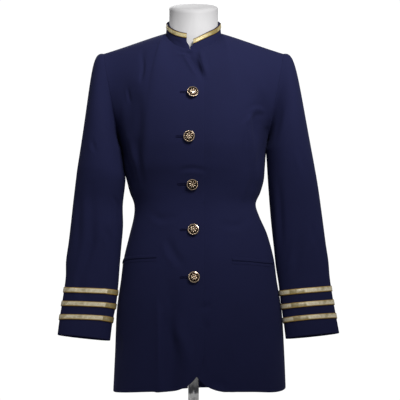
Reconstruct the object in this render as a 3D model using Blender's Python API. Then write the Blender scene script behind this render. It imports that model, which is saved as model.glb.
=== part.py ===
"""A buttoned uniform jacket on a limbless dress form.

The front looks along -Y, up is +Z and the form's base stands on z = 0 at the origin. Right and left in
the object names are the wearer's. Sizes are in millimetres until a mesh is made.
"""

import math

import bmesh
import bpy
import numpy as np
from mathutils import Vector
from mathutils.bvhtree import BVHTree

MM = 0.001

# Cloth
WALL = 2.0
SEAM_TRIM = 0.17
LAP_GAP = 1.1
LAP_BLEND = 22.0
BRAID_LIFT = 0.55
BRAID_WALL = 1.0

# Heights of the body's landmarks
Z_HEM = 110.0
Z_ARMPIT = 665.0
Z_SHOULDER_POINT = 861.0
Z_NECK_FRONT = 860.0
Z_NECK_SIDE = 907.0
Z_NECK_BACK = 924.0

# Neck and shoulder
NECK_HALF_WIDTH = 62.0
NECK_FRONT_DEPTH = 72.0
NECK_BACK_DEPTH = 64.0
NECK_SIDE_Y = 2.0
NECK_RISE_POWER = 1.2
SHOULDER_HALF_WIDTH = 202.0
SHOULDER_Y = 4.0
SHOULDER_FLARE = -2.0
ARMHOLE_BOW = 61.0
ARMHOLE_GRIP = 6.0
BOW_GRIP = 2.2
CHEST_TURN = (48.0, 84.0)
NECK_SHARE = 0.42
ARMPIT_ROW = 0.6

# Front closure
EDGE_X = 23.4
EDGE_TOP_X = 5.8
EDGE_TOP_Z = (797.0, 862.5)
CORNER_TOP_Z = 200.0
FRONT_CORNER_Z = 109.5
CORNER_WIDTH = 84.0
CORNER_POWER = 2.2
CENTRE_FRONT_X = (7.5, -1.0, -4.0)
CENTRE_FRONT_TURNS = ((200.0, 350.0), (760.0, 860.0))
LAP_START = 3.0

# Centre-back seam and vent
CENTRE_BACK_X = (-3.0, 4.0, 0.0)
CENTRE_BACK_TURNS = ((100.0, 300.0), (420.0, 720.0))
VENT_TOP_Z = 300.0
VENT_HALF_GAP = 11.0
VENT_POWER = 0.8

# Collar
COLLAR_TOP_HALF_WIDTH = 59.4
COLLAR_TOP_FRONT = 64.0
COLLAR_TOP_BACK = 60.0
COLLAR_HEIGHT_FRONT = 36.0
COLLAR_HEIGHT_SIDE = 25.5
COLLAR_HEIGHT_BACK = 30.0
COLLAR_DROOP = 12.0
COLLAR_DROOP_REACH = 38.0
COLLAR_END_X = (-10.0, -0.8)
COLLAR_END_TURN = 8.0
COLLAR_SEAM_LIFT = 0.6
COLLAR_BRAID = (1.5, 13.5)

# Sleeves
CUFF_BRAID_WIDTH = 12.7
CUFF_BRAID_CENTRES = (329.6, 299.2, 268.8)
FRONT_SEAM_ANGLE = 127.0
BACK_SEAM_ANGLE = -100.0
CUFF_BACK_DROP = 3.5
CUFF_DROP_FROM = (330.0, 230.0)
SLEEVE_POWER = 2.2
SLEEVE_TILT = 12.5
SLEEVE_TILT_REACH = 200.0
ARMHOLE_GAP = 0.6
CAP_PUFF = (3.0, 25.0, 6.0)
CAP_FALL = (0.35, 0.47)

# Buttons: height, distance right of the form's axis
BUTTON_ROWS = ((758.2, -1.7), (662.3, -8.5), (560.9, -2.1), (461.3, 0.5), (357.8, 1.6))
BUTTON_RADIUS = 12.5
SHANK_RADIUS = 3.5
BUTTON_SEGMENTS = 14
# distance from the cloth, radius
BUTTON_PROFILE = ((0.45, SHANK_RADIUS), (3.2, SHANK_RADIUS), (3.4, 9.5), (4.2, 12.0), (5.2, BUTTON_RADIUS),
                  (6.2, 12.1), (7.4, 10.4), (8.4, 7.4), (9.0, 3.6))

# Dress form
FORM_CLEARANCE = 9.0
SHOULDER_CLEARANCE = 0.75
SEAT_DEPTH = 26.0
SEAT_FROM_X = (64.0, 188.0)
SEAT_FADE = 14.0
ARM_CAP_BULGE = 10.0
FORM_ARM_STEPS = 4
FORM_BOTTOM_Z = 170.0
# share of the lowest ring's width, height above the bottom
FORM_FOOT = ((0.985, 2.5), (0.94, 0.5), (0.5, 0.0))
FORM_FOOT_HEIGHT = 5.5
FORM_NECK_RADIUS = 55.0
FORM_NECK_TOP_Z = 955.0
FORM_NECK_BAND = 10.0
# share of the way up the neck
FORM_NECK_LAYERS = (0.02, 1.0)
# radius, height above the neck's top
FORM_NECK_CAP = ((FORM_NECK_RADIUS, 0.0), (53.8, 3.5), (50.5, 6.0), (45.0, 7.0), (25.0, 7.6))
NECK_CAP_TILT = 17.0
POLE_RADIUS = 12.0
BASE_RADIUS = 135.0
BASE_HEIGHT = 10.0
BASE_ROUND = 3.0
POLE_SEGMENTS = 24
BASE_SEGMENTS = 48
SEAT_GAP = 0.3

# height, half width, centre, depth in front, depth behind
BODY_SECTIONS = (
    (100.0, 194.0, 13.5, 127.0, 126.0),
    (194.5, 189.8, 13.8, 125.0, 127.0),
    (284.5, 185.0, 12.8, 121.0, 127.0),
    (352.0, 174.9, 11.9, 117.0, 122.0),
    (399.0, 168.6, 11.8, 112.0, 113.0),
    (455.5, 154.2, 11.0, 103.0, 97.0),
    (496.0, 140.6, 6.8, 98.0, 86.0),
    (523.0, 136.8, 3.2, 98.0, 84.0),
    (550.0, 147.5, 3.6, 102.0, 86.0),
    (577.0, 155.0, 3.8, 110.0, 91.0),
    (604.0, 159.5, 1.5, 119.0, 96.0),
    (644.5, 163.0, 1.0, 127.0, 101.0),
    (665.0, 166.0, 0.0, 128.0, 104.0),
)
BODY_POWER = 2.4
SIDE_SETBACK = 22.0
SETBACK_RISE = (520.0, 570.0)
SETBACK_FALL = (630.0, 665.0)
SETBACK_AT_ARMPIT = 0.45

# place from the right side seam, -1, to the left one, 1, and the hem's height there
FRONT_HEM = ((-1.0, 104.5), (-0.85, 103.0), (-0.6, 105.0), (-0.3, 109.0), (0.0, 109.5),
             (0.35, 108.5), (0.6, 105.5), (0.8, 107.5), (1.0, 112.5))
BACK_HEM = ((-1.0, 104.5), (-0.6, 98.0), (-0.25, 94.0), (-0.06, 99.0), (0.0, 100.5),
            (0.06, 100.5), (0.25, 94.0), (0.6, 100.0), (1.0, 112.5))

# height, outer edge, inner edge, middle's y, half depth: the sleeve at the photo's left, x reversed
RIGHT_SLEEVE_ROWS = (
    (640.0, 254.0, 162.2, -12.0, 61.0),
    (600.0, 259.9, 155.0, -16.0, 57.0),
    (582.0, 262.2, 152.2, -16.0, 54.5),
    (563.0, 264.6, 153.6, -14.0, 52.0),
    (523.0, 269.6, 158.5, -10.0, 47.0),
    (478.0, 274.2, 157.8, -12.0, 43.0),
    (432.0, 279.2, 161.5, -16.0, 38.0),
    (388.0, 284.8, 164.8, -22.0, 33.0),
    (352.0, 285.0, 167.0, -28.0, 29.0),
    (307.0, 290.5, 171.5, -35.0, 27.0),
    (262.0, 297.0, 180.0, -41.0, 25.0),
    (224.0, 301.5, 184.5, -46.0, 24.0),
)
LEFT_SLEEVE_ROWS = (
    (640.0, 264.8, 163.8, -12.0, 61.0),
    (617.0, 269.0, 164.0, -13.0, 58.0),
    (563.0, 278.4, 167.6, -12.0, 52.0),
    (496.0, 287.6, 173.0, -11.0, 45.0),
    (428.0, 295.9, 180.0, -17.0, 37.0),
    (388.0, 301.5, 184.0, -22.0, 33.0),
    (352.0, 304.0, 189.4, -28.0, 29.0),
    (307.0, 310.0, 194.3, -35.0, 27.0),
    (262.0, 317.5, 200.5, -41.0, 25.0),
    (228.0, 323.5, 204.5, -46.0, 24.0),
)

# x and z where the fold starts, x and z where it ends, half width, depth (positive goes in)
FRONT_FOLDS = (
    (-49.0, 315.0, -46.0, 85.0, 17.0, 8.0),
    (-72.0, 310.0, -74.0, 85.0, 14.0, -3.0),
    (-112.0, 858.0, -113.0, 790.0, 6.0, 2.5),
    (-144.0, 775.0, -142.0, 640.0, 17.0, 7.0),
    (150.0, 745.0, 158.0, 625.0, 14.0, 7.0),
    (-158.0, 668.0, -132.0, 575.0, 8.0, 3.5),
    (-1.0, 855.0, 17.0, 790.0, 8.0, 3.0),
)

# x at the near end, x at the far end, height at the near end, height at the far end
POCKETS = {"right": (-80.0, -158.0, 399.9, 391.0), "left": (84.2, 176.0, 393.3, 389.0)}
JET_HEIGHTS = {"upper": 7.0, "lower": 5.5}
JET_WALL = 1.2
JET_LIFT = 0.8
JET_PARTING = 0.4
JET_COLUMNS = 18

# Grids: rows run from the hem, 0, to the upper boundary, 1
CORNER_ROWS = (0.0, 0.004, 0.013, 0.028, 0.05, 0.08, 0.115)
LOWER_ROWS = tuple(np.linspace(0.155, ARMPIT_ROW, 11))
UPPER_SHARES = (0.1, 0.2, 0.32, 0.44, 0.56, 0.68, 0.79, 0.88, 0.95, 1.0)
UPPER_ROWS = tuple(ARMPIT_ROW + (1.0 - ARMPIT_ROW) * share for share in UPPER_SHARES)
FRONT_ROWS = CORNER_ROWS + LOWER_ROWS + UPPER_ROWS
BACK_ROWS = (0.0, 0.05, 0.1) + LOWER_ROWS + UPPER_ROWS
FORM_ROWS = tuple(np.linspace(0.075, ARMPIT_ROW, 8)) + UPPER_ROWS
SIDE_COLUMNS = tuple(np.linspace(1.0, NECK_SHARE, 8))
CAP_PLACES = (0.0, 0.1, 0.22, 0.36, 0.52, 0.68, 0.84)
ARM_PLACES = tuple(np.linspace(1.0, 2.0, 12))
NORMAL_STEP = 0.004
SEAM_FROM = 0.9985
SEARCH_STEPS = 40
SHARP_ANGLE = 40.0


def smooth(t):
    """0 to 1 with level ends, for t from 0 to 1."""
    t = min(max(t, 0.0), 1.0)
    return t * t * (3.0 - 2.0 * t)


def smooth_between(value, ends):
    """0 at the first of two values and 1 at the second, with level ends."""
    return smooth((value - ends[0]) / (ends[1] - ends[0]))


def mix(a, b, t):
    return a + (b - a) * t


def read_rows(rows, z):
    """The columns of a table at height z, along a smooth curve through its rows."""
    rows = np.array(sorted(rows))
    heights = rows[:, 0]
    z = min(max(z, heights[0]), heights[-1])
    k = min(max(int(np.searchsorted(heights, z)) - 1, 0), len(rows) - 2)
    step = heights[k + 1] - heights[k]
    t = (z - heights[k]) / step
    before = rows[max(k - 1, 0)]
    after = rows[min(k + 2, len(rows) - 1)]
    slope_0 = (rows[k + 1] - before) / (heights[k + 1] - before[0]) * step
    slope_1 = (after - rows[k]) / (after[0] - heights[k]) * step
    t2, t3 = t * t, t * t * t
    return ((2 * t3 - 3 * t2 + 1) * rows[k] + (t3 - 2 * t2 + t) * slope_0
            + (3 * t2 - 2 * t3) * rows[k + 1] + (t3 - t2) * slope_1)[1:]


def signed_angle(angle):
    """The same angle between -180 and 180 degrees."""
    return (angle + 180.0) % 360.0 - 180.0


def oval(angle, power):
    """Sine and cosine of an angle in degrees, squared off by the power."""
    s, c = math.sin(math.radians(angle)), math.cos(math.radians(angle))
    return (math.copysign(abs(s) ** (2.0 / power), s), math.copysign(abs(c) ** (2.0 / power), c))


def section_point(z, s, front):
    """A point of the body below the armpit: s runs from -1 at one side seam to 1 at the other."""
    half, centre, ahead, behind = read_rows(BODY_SECTIONS, z)
    across, along = oval(90.0 * s, BODY_POWER)
    setback = (SIDE_SETBACK * smooth_between(z, SETBACK_RISE)
               * mix(1.0, SETBACK_AT_ARMPIT, smooth_between(z, SETBACK_FALL)) * s ** 4)
    y = setback - ahead * along if front else setback + behind * along
    return np.array((centre + half * across, y, z))


def neck_point(angle):
    """The neck seam: 0 degrees at the centre front, 90 at the side, 180 at the centre back."""
    a = math.radians(angle)
    x = NECK_HALF_WIDTH * math.sin(a)
    ahead = abs(angle) <= 90.0
    share = abs(math.cos(a))
    y = mix(NECK_SIDE_Y, -NECK_FRONT_DEPTH if ahead else NECK_BACK_DEPTH, share)
    z = mix(Z_NECK_SIDE, Z_NECK_FRONT if ahead else Z_NECK_BACK, share ** NECK_RISE_POWER)
    return np.array((x, y, z))


def top_point(s, front):
    """The body's upper boundary: the neck seam, then the shoulder seam out to the shoulder point."""
    u = abs(s)
    if u <= NECK_SHARE:
        angle = 90.0 * u / NECK_SHARE
        point = neck_point(angle if front else 180.0 - angle)
    else:
        t = (u - NECK_SHARE) / (1.0 - NECK_SHARE)
        point = np.array((mix(NECK_HALF_WIDTH, SHOULDER_HALF_WIDTH, t), mix(NECK_SIDE_Y, SHOULDER_Y, t),
                          mix(Z_NECK_SIDE, Z_SHOULDER_POINT, t) - SHOULDER_FLARE * t * (1.0 - t) ** 3 * 4.0))
    point[0] *= math.copysign(1.0, s)
    return point


def upper_point(s, v, front):
    """A point of the body above the armpit: v runs from the armpit, 0, to the upper boundary, 1."""
    u = abs(s)
    base = section_point(Z_ARMPIT, s, front)
    top = top_point(s, front)
    end = math.radians(mix(*CHEST_TURN, smooth(u / NECK_SHARE)))
    rise = math.sin(v * end) / math.sin(end)
    lean = (1.0 - math.cos(v * end)) / (1.0 - math.cos(end))
    arch = base + (top - base) * np.array((mix(lean, rise, u), lean, rise))
    ring = base + (top - base) * (0.5 - 0.5 * math.cos(math.pi * v))
    point = arch + (ring - arch) * u ** ARMHOLE_GRIP
    bow = ARMHOLE_BOW * math.sin(math.pi * v) * u ** BOW_GRIP
    point[1] += -bow if front else bow
    return point


def fold_depth(x, z):
    """How far the front is pressed in by its folds at a place."""
    total = 0.0
    for x0, z0, x1, z1, half, depth in FRONT_FOLDS:
        along = (z - z0) / (z1 - z0)
        if -0.25 < along < 1.25:
            ends = smooth((along + 0.25) * 2.0) * smooth((1.25 - along) * 2.0)
            across = (x - mix(x0, x1, along)) / half
            total += depth * ends * math.exp(-across * across)
    return total


def hem_height(s, front):
    return read_rows(FRONT_HEM if front else BACK_HEM, s)[0]


def body_point(s, r, front, folded=True):
    """The outside of the jacket's body: r runs from the hem, 0, to the upper boundary, 1."""
    if r < ARMPIT_ROW:
        z = mix(hem_height(s, front), Z_ARMPIT, r / ARMPIT_ROW)
        point = section_point(z, s, front)
    else:
        point = upper_point(s, (r - ARMPIT_ROW) / (1.0 - ARMPIT_ROW), front)
    if front and folded:
        side_fade = smooth((1.0 - abs(s)) * 6.0)
        top_fade = smooth((1.0 - r) * 30.0)
        point[1] += fold_depth(point[0], point[2]) * side_fade * top_fade
    return point


def cross_unit(a, b):
    n = np.cross(a, b)
    return n / max(np.linalg.norm(n), 1e-9)


def body_normal(s, r, front):
    """The outward direction on the body, shared by both panels along a seam."""
    def one_side(in_front):
        s0, s1 = max(s - NORMAL_STEP, -0.9999), min(s + NORMAL_STEP, 0.9999)
        r0, r1 = max(r - NORMAL_STEP, 0.0), min(r + NORMAL_STEP, 1.0)
        across = body_point(s1, r, in_front) - body_point(s0, r, in_front)
        along = body_point(s, r1, in_front) - body_point(s, r0, in_front)
        n = cross_unit(across, along)
        return n if in_front else -n
    normal = one_side(front)
    at_side = abs(s) > SEAM_FROM
    at_shoulder = r > SEAM_FROM and abs(s) > NECK_SHARE - 0.001
    if at_side or at_shoulder:
        normal = normal + one_side(not front)
    return normal / np.linalg.norm(normal)


def place_at_x(x, r, front):
    """The s at which a row of the body crosses x."""
    low, high = -0.98, 0.98
    for _ in range(SEARCH_STEPS):
        middle = 0.5 * (low + high)
        if body_point(middle, r, front, folded=False)[0] < x:
            low = middle
        else:
            high = middle
    return 0.5 * (low + high)


def closure_edge_x(z):
    """The right front's free edge, with its rounded lower corner."""
    if z >= CORNER_TOP_Z:
        low, high = EDGE_TOP_Z
        return mix(EDGE_X, EDGE_TOP_X, min(max((z - low) / (high - low), 0.0), 1.0))
    drop = min((CORNER_TOP_Z - z) / (CORNER_TOP_Z - FRONT_CORNER_Z), 1.0)
    return EDGE_X - CORNER_WIDTH * (1.0 - (1.0 - drop ** CORNER_POWER) ** (1.0 / CORNER_POWER))


def centre_front_x(z):
    """The line that the two free edges mirror each other about."""
    low, middle, high = CENTRE_FRONT_X
    x = mix(low, middle, smooth_between(z, CENTRE_FRONT_TURNS[0]))
    return mix(x, high, smooth_between(z, CENTRE_FRONT_TURNS[1]))


def under_edge_x(z):
    """The left front's edge, the right one's mirror image about the centre front."""
    return 2.0 * centre_front_x(z) - closure_edge_x(z)


def centre_back_x(z):
    """The centre-back seam, which leans a little."""
    low, middle, high = CENTRE_BACK_X
    x = mix(low, middle, smooth_between(z, CENTRE_BACK_TURNS[0]))
    return mix(x, high, smooth_between(z, CENTRE_BACK_TURNS[1]))


def vent_edge_x(z, side):
    """A back's free edge, which parts from the other below the top of the vent."""
    gap = VENT_HALF_GAP * max(0.0, (VENT_TOP_Z - z) / (VENT_TOP_Z - Z_HEM)) ** VENT_POWER
    return centre_back_x(z) + side * gap


def lap_offset(x):
    """How far the left front lies inside the surface, where the right front laps it."""
    return (WALL + LAP_GAP) * (1.0 - smooth((x - EDGE_X - LAP_START) / LAP_BLEND))


def new_material(name, color, roughness, metallic=0.0):
    material = bpy.data.materials.new(name)
    material.use_nodes = True
    shader = material.node_tree.nodes["Principled BSDF"]
    shader.inputs["Base Color"].default_value = (*color, 1.0)
    shader.inputs["Roughness"].default_value = roughness
    shader.inputs["Metallic"].default_value = metallic
    return material


def add_object(name, bm, material):
    """Makes a closed solid's object from a bmesh, with its faces turned outward."""
    bmesh.ops.recalc_face_normals(bm, faces=bm.faces)
    if bm.calc_volume(signed=True) < 0.0:
        bmesh.ops.reverse_faces(bm, faces=bm.faces)
    mesh = bpy.data.meshes.new(name)
    bm.to_mesh(mesh)
    bm.free()
    mesh.materials.append(material)
    mesh.shade_smooth()
    mesh.set_sharp_from_angle(angle=math.radians(SHARP_ANGLE))
    item = bpy.data.objects.new(name, mesh)
    bpy.context.scene.collection.objects.link(item)
    return item


def trim_edges(outer, inner, sides, amount=SEAM_TRIM):
    """Pulls a grid's named edges back into the piece: first_row, last_row, first_col or last_col."""
    for grid in (outer, inner):
        for side in sides:
            rows = "row" in side
            edge, near = (0, 1) if "first" in side else (-1, -2)
            a = grid[edge] if rows else grid[:, edge]
            b = grid[near] if rows else grid[:, near]
            step = b - a
            step = step / np.linalg.norm(step, axis=1, keepdims=True)
            if rows:
                grid[edge] = a + step * amount
            else:
                grid[:, edge] = a + step * amount


def wall_object(name, outer, inner, material):
    """A closed wall between two grids of points."""
    bm = bmesh.new()
    rows, cols = outer.shape[:2]
    sheets = [[[bm.verts.new(p * MM) for p in row] for row in grid] for grid in (outer, inner)]
    for sheet in sheets:
        for i in range(rows - 1):
            for j in range(cols - 1):
                bm.faces.new((sheet[i][j], sheet[i][j + 1], sheet[i + 1][j + 1], sheet[i + 1][j]))
    rim = [(0, j) for j in range(cols)] + [(i, cols - 1) for i in range(1, rows)]
    rim += [(rows - 1, j) for j in range(cols - 2, -1, -1)] + [(i, 0) for i in range(rows - 2, 0, -1)]
    for (i, j), (k, m) in zip(rim, rim[1:] + rim[:1]):
        bm.faces.new((sheets[0][i][j], sheets[0][k][m], sheets[1][k][m], sheets[1][i][j]))
    return add_object(name, bm, material)


def body_panel(name, front, columns_at, rows, trimmed, offset_at, material):
    """A panel of the body from its columns at each row, with a wall inside the surface."""
    outer, inner = [], []
    for r in rows:
        outer_row, inner_row = [], []
        for s in columns_at(r):
            point, normal = body_point(s, r, front), body_normal(s, r, front)
            sunk = offset_at(point)
            outer_row.append(point - normal * sunk)
            inner_row.append(point - normal * (sunk + WALL))
        outer.append(outer_row)
        inner.append(inner_row)
    outer, inner = np.array(outer), np.array(inner)
    trim_edges(outer, inner, trimmed)
    return wall_object(name, outer, inner, material)


def front_columns(side, edge_x, count=8):
    """Columns of a front from its side seam to its free edge, for any row."""
    def columns(r):
        z = body_point(0.0, r, True, folded=False)[2]
        end = place_at_x(edge_x(z), r, True)
        start = side * NECK_SHARE
        if r < CORNER_ROWS[-1]:
            start = side * max(NECK_SHARE, 0.5)
        shoulder = [side * u * abs(start) / NECK_SHARE if u <= NECK_SHARE else
                    side * mix(abs(start), 1.0, (u - NECK_SHARE) / (1.0 - NECK_SHARE)) for u in SIDE_COLUMNS]
        return shoulder + [mix(start, end, k / count) for k in range(1, count + 1)]
    return columns


def back_columns(side, count=5):
    """Columns of a back from its side seam to the centre back, for any row."""
    def columns(r):
        z = mix(Z_HEM, Z_ARMPIT, min(r / ARMPIT_ROW, 1.0))
        end = place_at_x(vent_edge_x(z, side), r, False)
        return ([side * u for u in SIDE_COLUMNS]
                + [mix(side * NECK_SHARE, end, k / count) for k in range(1, count + 1)])
    return columns


def no_offset(point):
    return 0.0


def build_body(cloth):
    """The four panels. Returns the two fronts, which carry the jets and the buttons."""
    right = body_panel("front_right", True, front_columns(-1, closure_edge_x), FRONT_ROWS,
               ("first_col", "last_row"), no_offset, cloth)
    left = body_panel("front_left", True, front_columns(1, under_edge_x), FRONT_ROWS,
               ("first_col", "last_row"), lambda point: lap_offset(point[0]), cloth)
    for name, side in (("back_right", -1), ("back_left", 1)):
        body_panel(name, False, back_columns(side), BACK_ROWS,
                   ("first_col", "last_row", "last_col"), no_offset, cloth)
    return {"right": right, "left": left}


class Sleeve:
    """One sleeve's outer surface: an angle round it, 0 at the top or outside and 90 at the front,
    and a place along it, 0 at the armhole, 1 at the armpit's level and 2 at the cuff."""

    def __init__(self, side, rows):
        self.side = side
        self.rows = rows
        self.z_top = max(row[0] for row in rows)
        self.z_cuff = min(row[0] for row in rows)

    def section(self, z, angle):
        outer, inner, middle_y, half_depth = read_rows(self.rows, z)
        ahead, out = oval(angle, SLEEVE_POWER)
        half = 0.5 * (outer - inner)
        tilt = SLEEVE_TILT * smooth((self.z_top - z) / SLEEVE_TILT_REACH)
        drop = CUFF_BACK_DROP * smooth_between(z, CUFF_DROP_FROM)
        return np.array((self.side * (0.5 * (outer + inner) + half * out), middle_y - half_depth * ahead,
                         z + 0.5 * tilt * out + drop * ahead))

    def armhole(self, angle):
        turn = signed_angle(angle)
        point = upper_point(self.side, 1.0 - abs(turn) / 180.0, turn >= 0.0)
        return point + np.array((self.side * ARMHOLE_GAP, 0.0, 0.0))

    def point(self, angle, place):
        if place > 1.0:
            return self.section(mix(self.z_top, self.z_cuff, place - 1.0), angle)
        start, end = self.armhole(angle), self.section(self.z_top, angle)
        high = 0.5 + 0.5 * math.cos(math.radians(angle))
        fall = start[2] - end[2]
        down = self.section(self.z_top - 10.0, angle) - end
        down = down / max(abs(down[2]), 1e-6)
        least, puff, lift = CAP_PUFF
        leave = start + np.array((self.side * (least + puff * high), 0.0, lift * high ** 4))
        arrive = end - down * fall * (CAP_FALL[0] + CAP_FALL[1] * high)
        t, q = place, 1.0 - place
        return q ** 3 * start + 3 * q * q * t * leave + 3 * q * t * t * arrive + t ** 3 * end

    def normal(self, angle, place):
        round_it = self.point(angle + 1.0, place) - self.point(angle - 1.0, place)
        low, high = max(place - 0.01, 0.0), min(place + 0.01, 2.0)
        down = self.point(angle, high) - self.point(angle, low)
        return cross_unit(round_it, down) * self.side

    def place_at(self, z):
        return 1.0 + (self.z_top - z) / (self.z_top - self.z_cuff)


SLEEVES = {"right": Sleeve(-1, RIGHT_SLEEVE_ROWS), "left": Sleeve(1, LEFT_SLEEVE_ROWS)}


def sleeve_strip(name, sleeve, angles, places, lift, wall, trimmed, material):
    """A wall that follows the sleeve between two angles and two places along it."""
    outer, inner = [], []
    for place in places:
        points = [(sleeve.point(a, place), sleeve.normal(a, place)) for a in angles]
        outer.append([p + n * lift for p, n in points])
        inner.append([p + n * (lift - wall) for p, n in points])
    outer, inner = np.array(outer), np.array(inner)
    trim_edges(outer, inner, trimmed)
    return wall_object(name, outer, inner, material)


def build_sleeves(cloth, gold):
    top_angles = np.linspace(BACK_SEAM_ANGLE, FRONT_SEAM_ANGLE, 12)
    under_angles = np.linspace(FRONT_SEAM_ANGLE, 360.0 + BACK_SEAM_ANGLE, 8)
    for side, sleeve in SLEEVES.items():
        for part, angles in (("top", top_angles), ("under", under_angles)):
            sleeve_strip(f"{part}_sleeve_{side}", sleeve, angles, CAP_PLACES + ARM_PLACES, 0.0, WALL,
                         ("first_col", "last_col"), cloth)
            for number, z in enumerate(CUFF_BRAID_CENTRES, 1):
                half = 0.5 * CUFF_BRAID_WIDTH
                places = (sleeve.place_at(z + half), sleeve.place_at(z - half))
                sleeve_strip(f"cuff_braid_{side}_{part}_{number}", sleeve, angles, places,
                             BRAID_LIFT + BRAID_WALL, BRAID_WALL, ("first_col", "last_col"), gold)


def collar_point(angle, share):
    """The collar's outside: angle as on the neck seam, share 0 at the seam and 1 at the top edge."""
    base = neck_point(angle)
    a = math.radians(angle)
    c = math.cos(a)
    height = mix(COLLAR_HEIGHT_SIDE, COLLAR_HEIGHT_FRONT if c > 0.0 else COLLAR_HEIGHT_BACK, abs(c) ** 1.6)
    x = COLLAR_TOP_HALF_WIDTH * math.sin(a)
    if abs(angle) < 90.0 and x > COLLAR_END_X[0]:
        near = max(0.0, 1.0 - max(x, 0.0) / COLLAR_DROOP_REACH)
        height -= COLLAR_DROOP * near ** 1.5 * smooth((x - COLLAR_END_X[0]) / COLLAR_END_TURN)
    y = mix(NECK_SIDE_Y, -COLLAR_TOP_FRONT if c > 0 else COLLAR_TOP_BACK, abs(c))
    top = np.array((x, y, base[2] + height))
    return base + (top - base) * share + np.array((0.0, 0.0, COLLAR_SEAM_LIFT * (1.0 - share)))


def collar_strip(name, angles, shares, lift, wall, material):
    outer, inner = [], []
    for share in shares:
        outer_row, inner_row = [], []
        for angle in angles:
            point = collar_point(angle, share)
            across = collar_point(angle + 1.0, share) - collar_point(angle - 1.0, share)
            along = collar_point(angle, 1.0) - collar_point(angle, 0.0)
            normal = cross_unit(across, along)
            outer_row.append(point + normal * lift)
            inner_row.append(point + normal * (lift - wall))
        outer.append(outer_row)
        inner.append(inner_row)
    return wall_object(name, np.array(outer), np.array(inner), material)


def collar_angles(count=33):
    """From the left end, round the back, to the right end."""
    right_end, left_end = (math.degrees(math.asin(x / NECK_HALF_WIDTH)) for x in COLLAR_END_X)
    return np.linspace(left_end, 360.0 + right_end, count)


def build_collar(cloth, gold):
    angles = [signed_angle(a) for a in collar_angles()]
    collar_strip("collar", angles, (0.0, 0.5, 1.0), 0.0, WALL, cloth)
    start, end = (1.0 - d / COLLAR_HEIGHT_SIDE for d in reversed(COLLAR_BRAID))
    collar_strip("collar_braid", angles, (start, end), BRAID_LIFT + BRAID_WALL, BRAID_WALL, gold)


def skin_of(item):
    return BVHTree.FromObject(item, bpy.context.evaluated_depsgraph_get())


def seat_on(skin, point, normal):
    """The place where a line along the normal meets the panel's faces."""
    start = Vector((point + normal * 30.0) * MM)
    hit = skin.ray_cast(start, Vector(-normal))[0]
    return np.array(hit) / MM


def row_at_height(z):
    """The row of the centre front at a height."""
    low, high = 0.0, 1.0
    for _ in range(SEARCH_STEPS):
        middle = 0.5 * (low + high)
        if body_point(0.0, middle, True, folded=False)[2] < z:
            low = middle
        else:
            high = middle
    return 0.5 * (low + high)


def build_jets(fronts, cloth):
    """The two narrow welts of each hip pocket, laid on the front."""
    for side, (near_x, far_x, near_z, far_z) in POCKETS.items():
        skin = skin_of(fronts[side])
        for part, height in JET_HEIGHTS.items():
            z_shift = (0.5 * height + JET_PARTING) * (1.0 if part == "upper" else -1.0)
            outer, inner = [], []
            for edge in (-0.5, 0.5):
                outer_row, inner_row = [], []
                for t in np.linspace(0.0, 1.0, JET_COLUMNS):
                    r = row_at_height(mix(near_z, far_z, t ** 2) + z_shift + edge * height)
                    s = mix(place_at_x(near_x, r, True), place_at_x(far_x, r, True), t)
                    normal = body_normal(s, r, True)
                    point = seat_on(skin, body_point(s, r, True), normal)
                    outer_row.append(point + normal * (JET_LIFT + JET_WALL))
                    inner_row.append(point + normal * JET_LIFT)
                outer.append(outer_row)
                inner.append(inner_row)
            wall_object(f"pocket_jet_{side}_{part}", np.array(outer), np.array(inner), cloth)


def turned_solid(name, profile, centre, axis, segments, material):
    """A solid of revolution from (distance along the axis, radius) rows, closed on the axis."""
    axis = axis / np.linalg.norm(axis)
    side = cross_unit(axis, np.array((0.0, 0.0, 1.0)) if abs(axis[2]) < 0.9 else np.array((1.0, 0.0, 0.0)))
    up = np.cross(side, axis)
    bm = bmesh.new()
    rings = []
    for along, radius in profile:
        ring = []
        for k in range(segments):
            a = 2.0 * math.pi * k / segments
            point = centre + axis * along + (side * math.cos(a) + up * math.sin(a)) * radius
            ring.append(bm.verts.new(point * MM))
        rings.append(ring)
    for low, high in zip(rings, rings[1:]):
        for k in range(segments):
            m = (k + 1) % segments
            bm.faces.new((low[k], low[m], high[m], high[k]))
    bm.faces.new(rings[0])
    bm.faces.new(rings[-1])
    return add_object(name, bm, material)


def build_buttons(front, gold):
    skin = skin_of(front)
    for number, (z, x) in enumerate(BUTTON_ROWS, 1):
        r = row_at_height(z)
        s = place_at_x(x, r, True)
        normal = body_normal(s, r, True)
        seat = seat_on(skin, body_point(s, r, True), normal)
        turned_solid(f"button_{number}", BUTTON_PROFILE, seat, normal, BUTTON_SEGMENTS, gold)


def form_columns():
    half = list(SIDE_COLUMNS) + [NECK_SHARE * (1.0 - k / 4) for k in range(1, 4)]
    return [-u for u in half] + [0.0] + half[::-1]


def form_ring(r):
    """A closed ring of the jacket's surface at one row, with plates across the armholes."""
    columns = form_columns()
    front = [body_point(s, r, True, folded=False) for s in columns]
    back = [body_point(s, r, False) for s in reversed(columns)]
    v = max(0.0, (r - ARMPIT_ROW) / (1.0 - ARMPIT_ROW))
    bulge = ARM_CAP_BULGE * math.sin(math.pi * v)

    def plate(start, end, side):
        points = []
        for k in range(1, FORM_ARM_STEPS):
            w = k / FORM_ARM_STEPS
            point = mix(start, end, w)
            point[0] += side * bulge * math.sin(math.pi * w)
            points.append(point)
        return points
    return front + plate(front[-1], back[0], 1.0) + back + plate(back[-1], front[0], -1.0)


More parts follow.
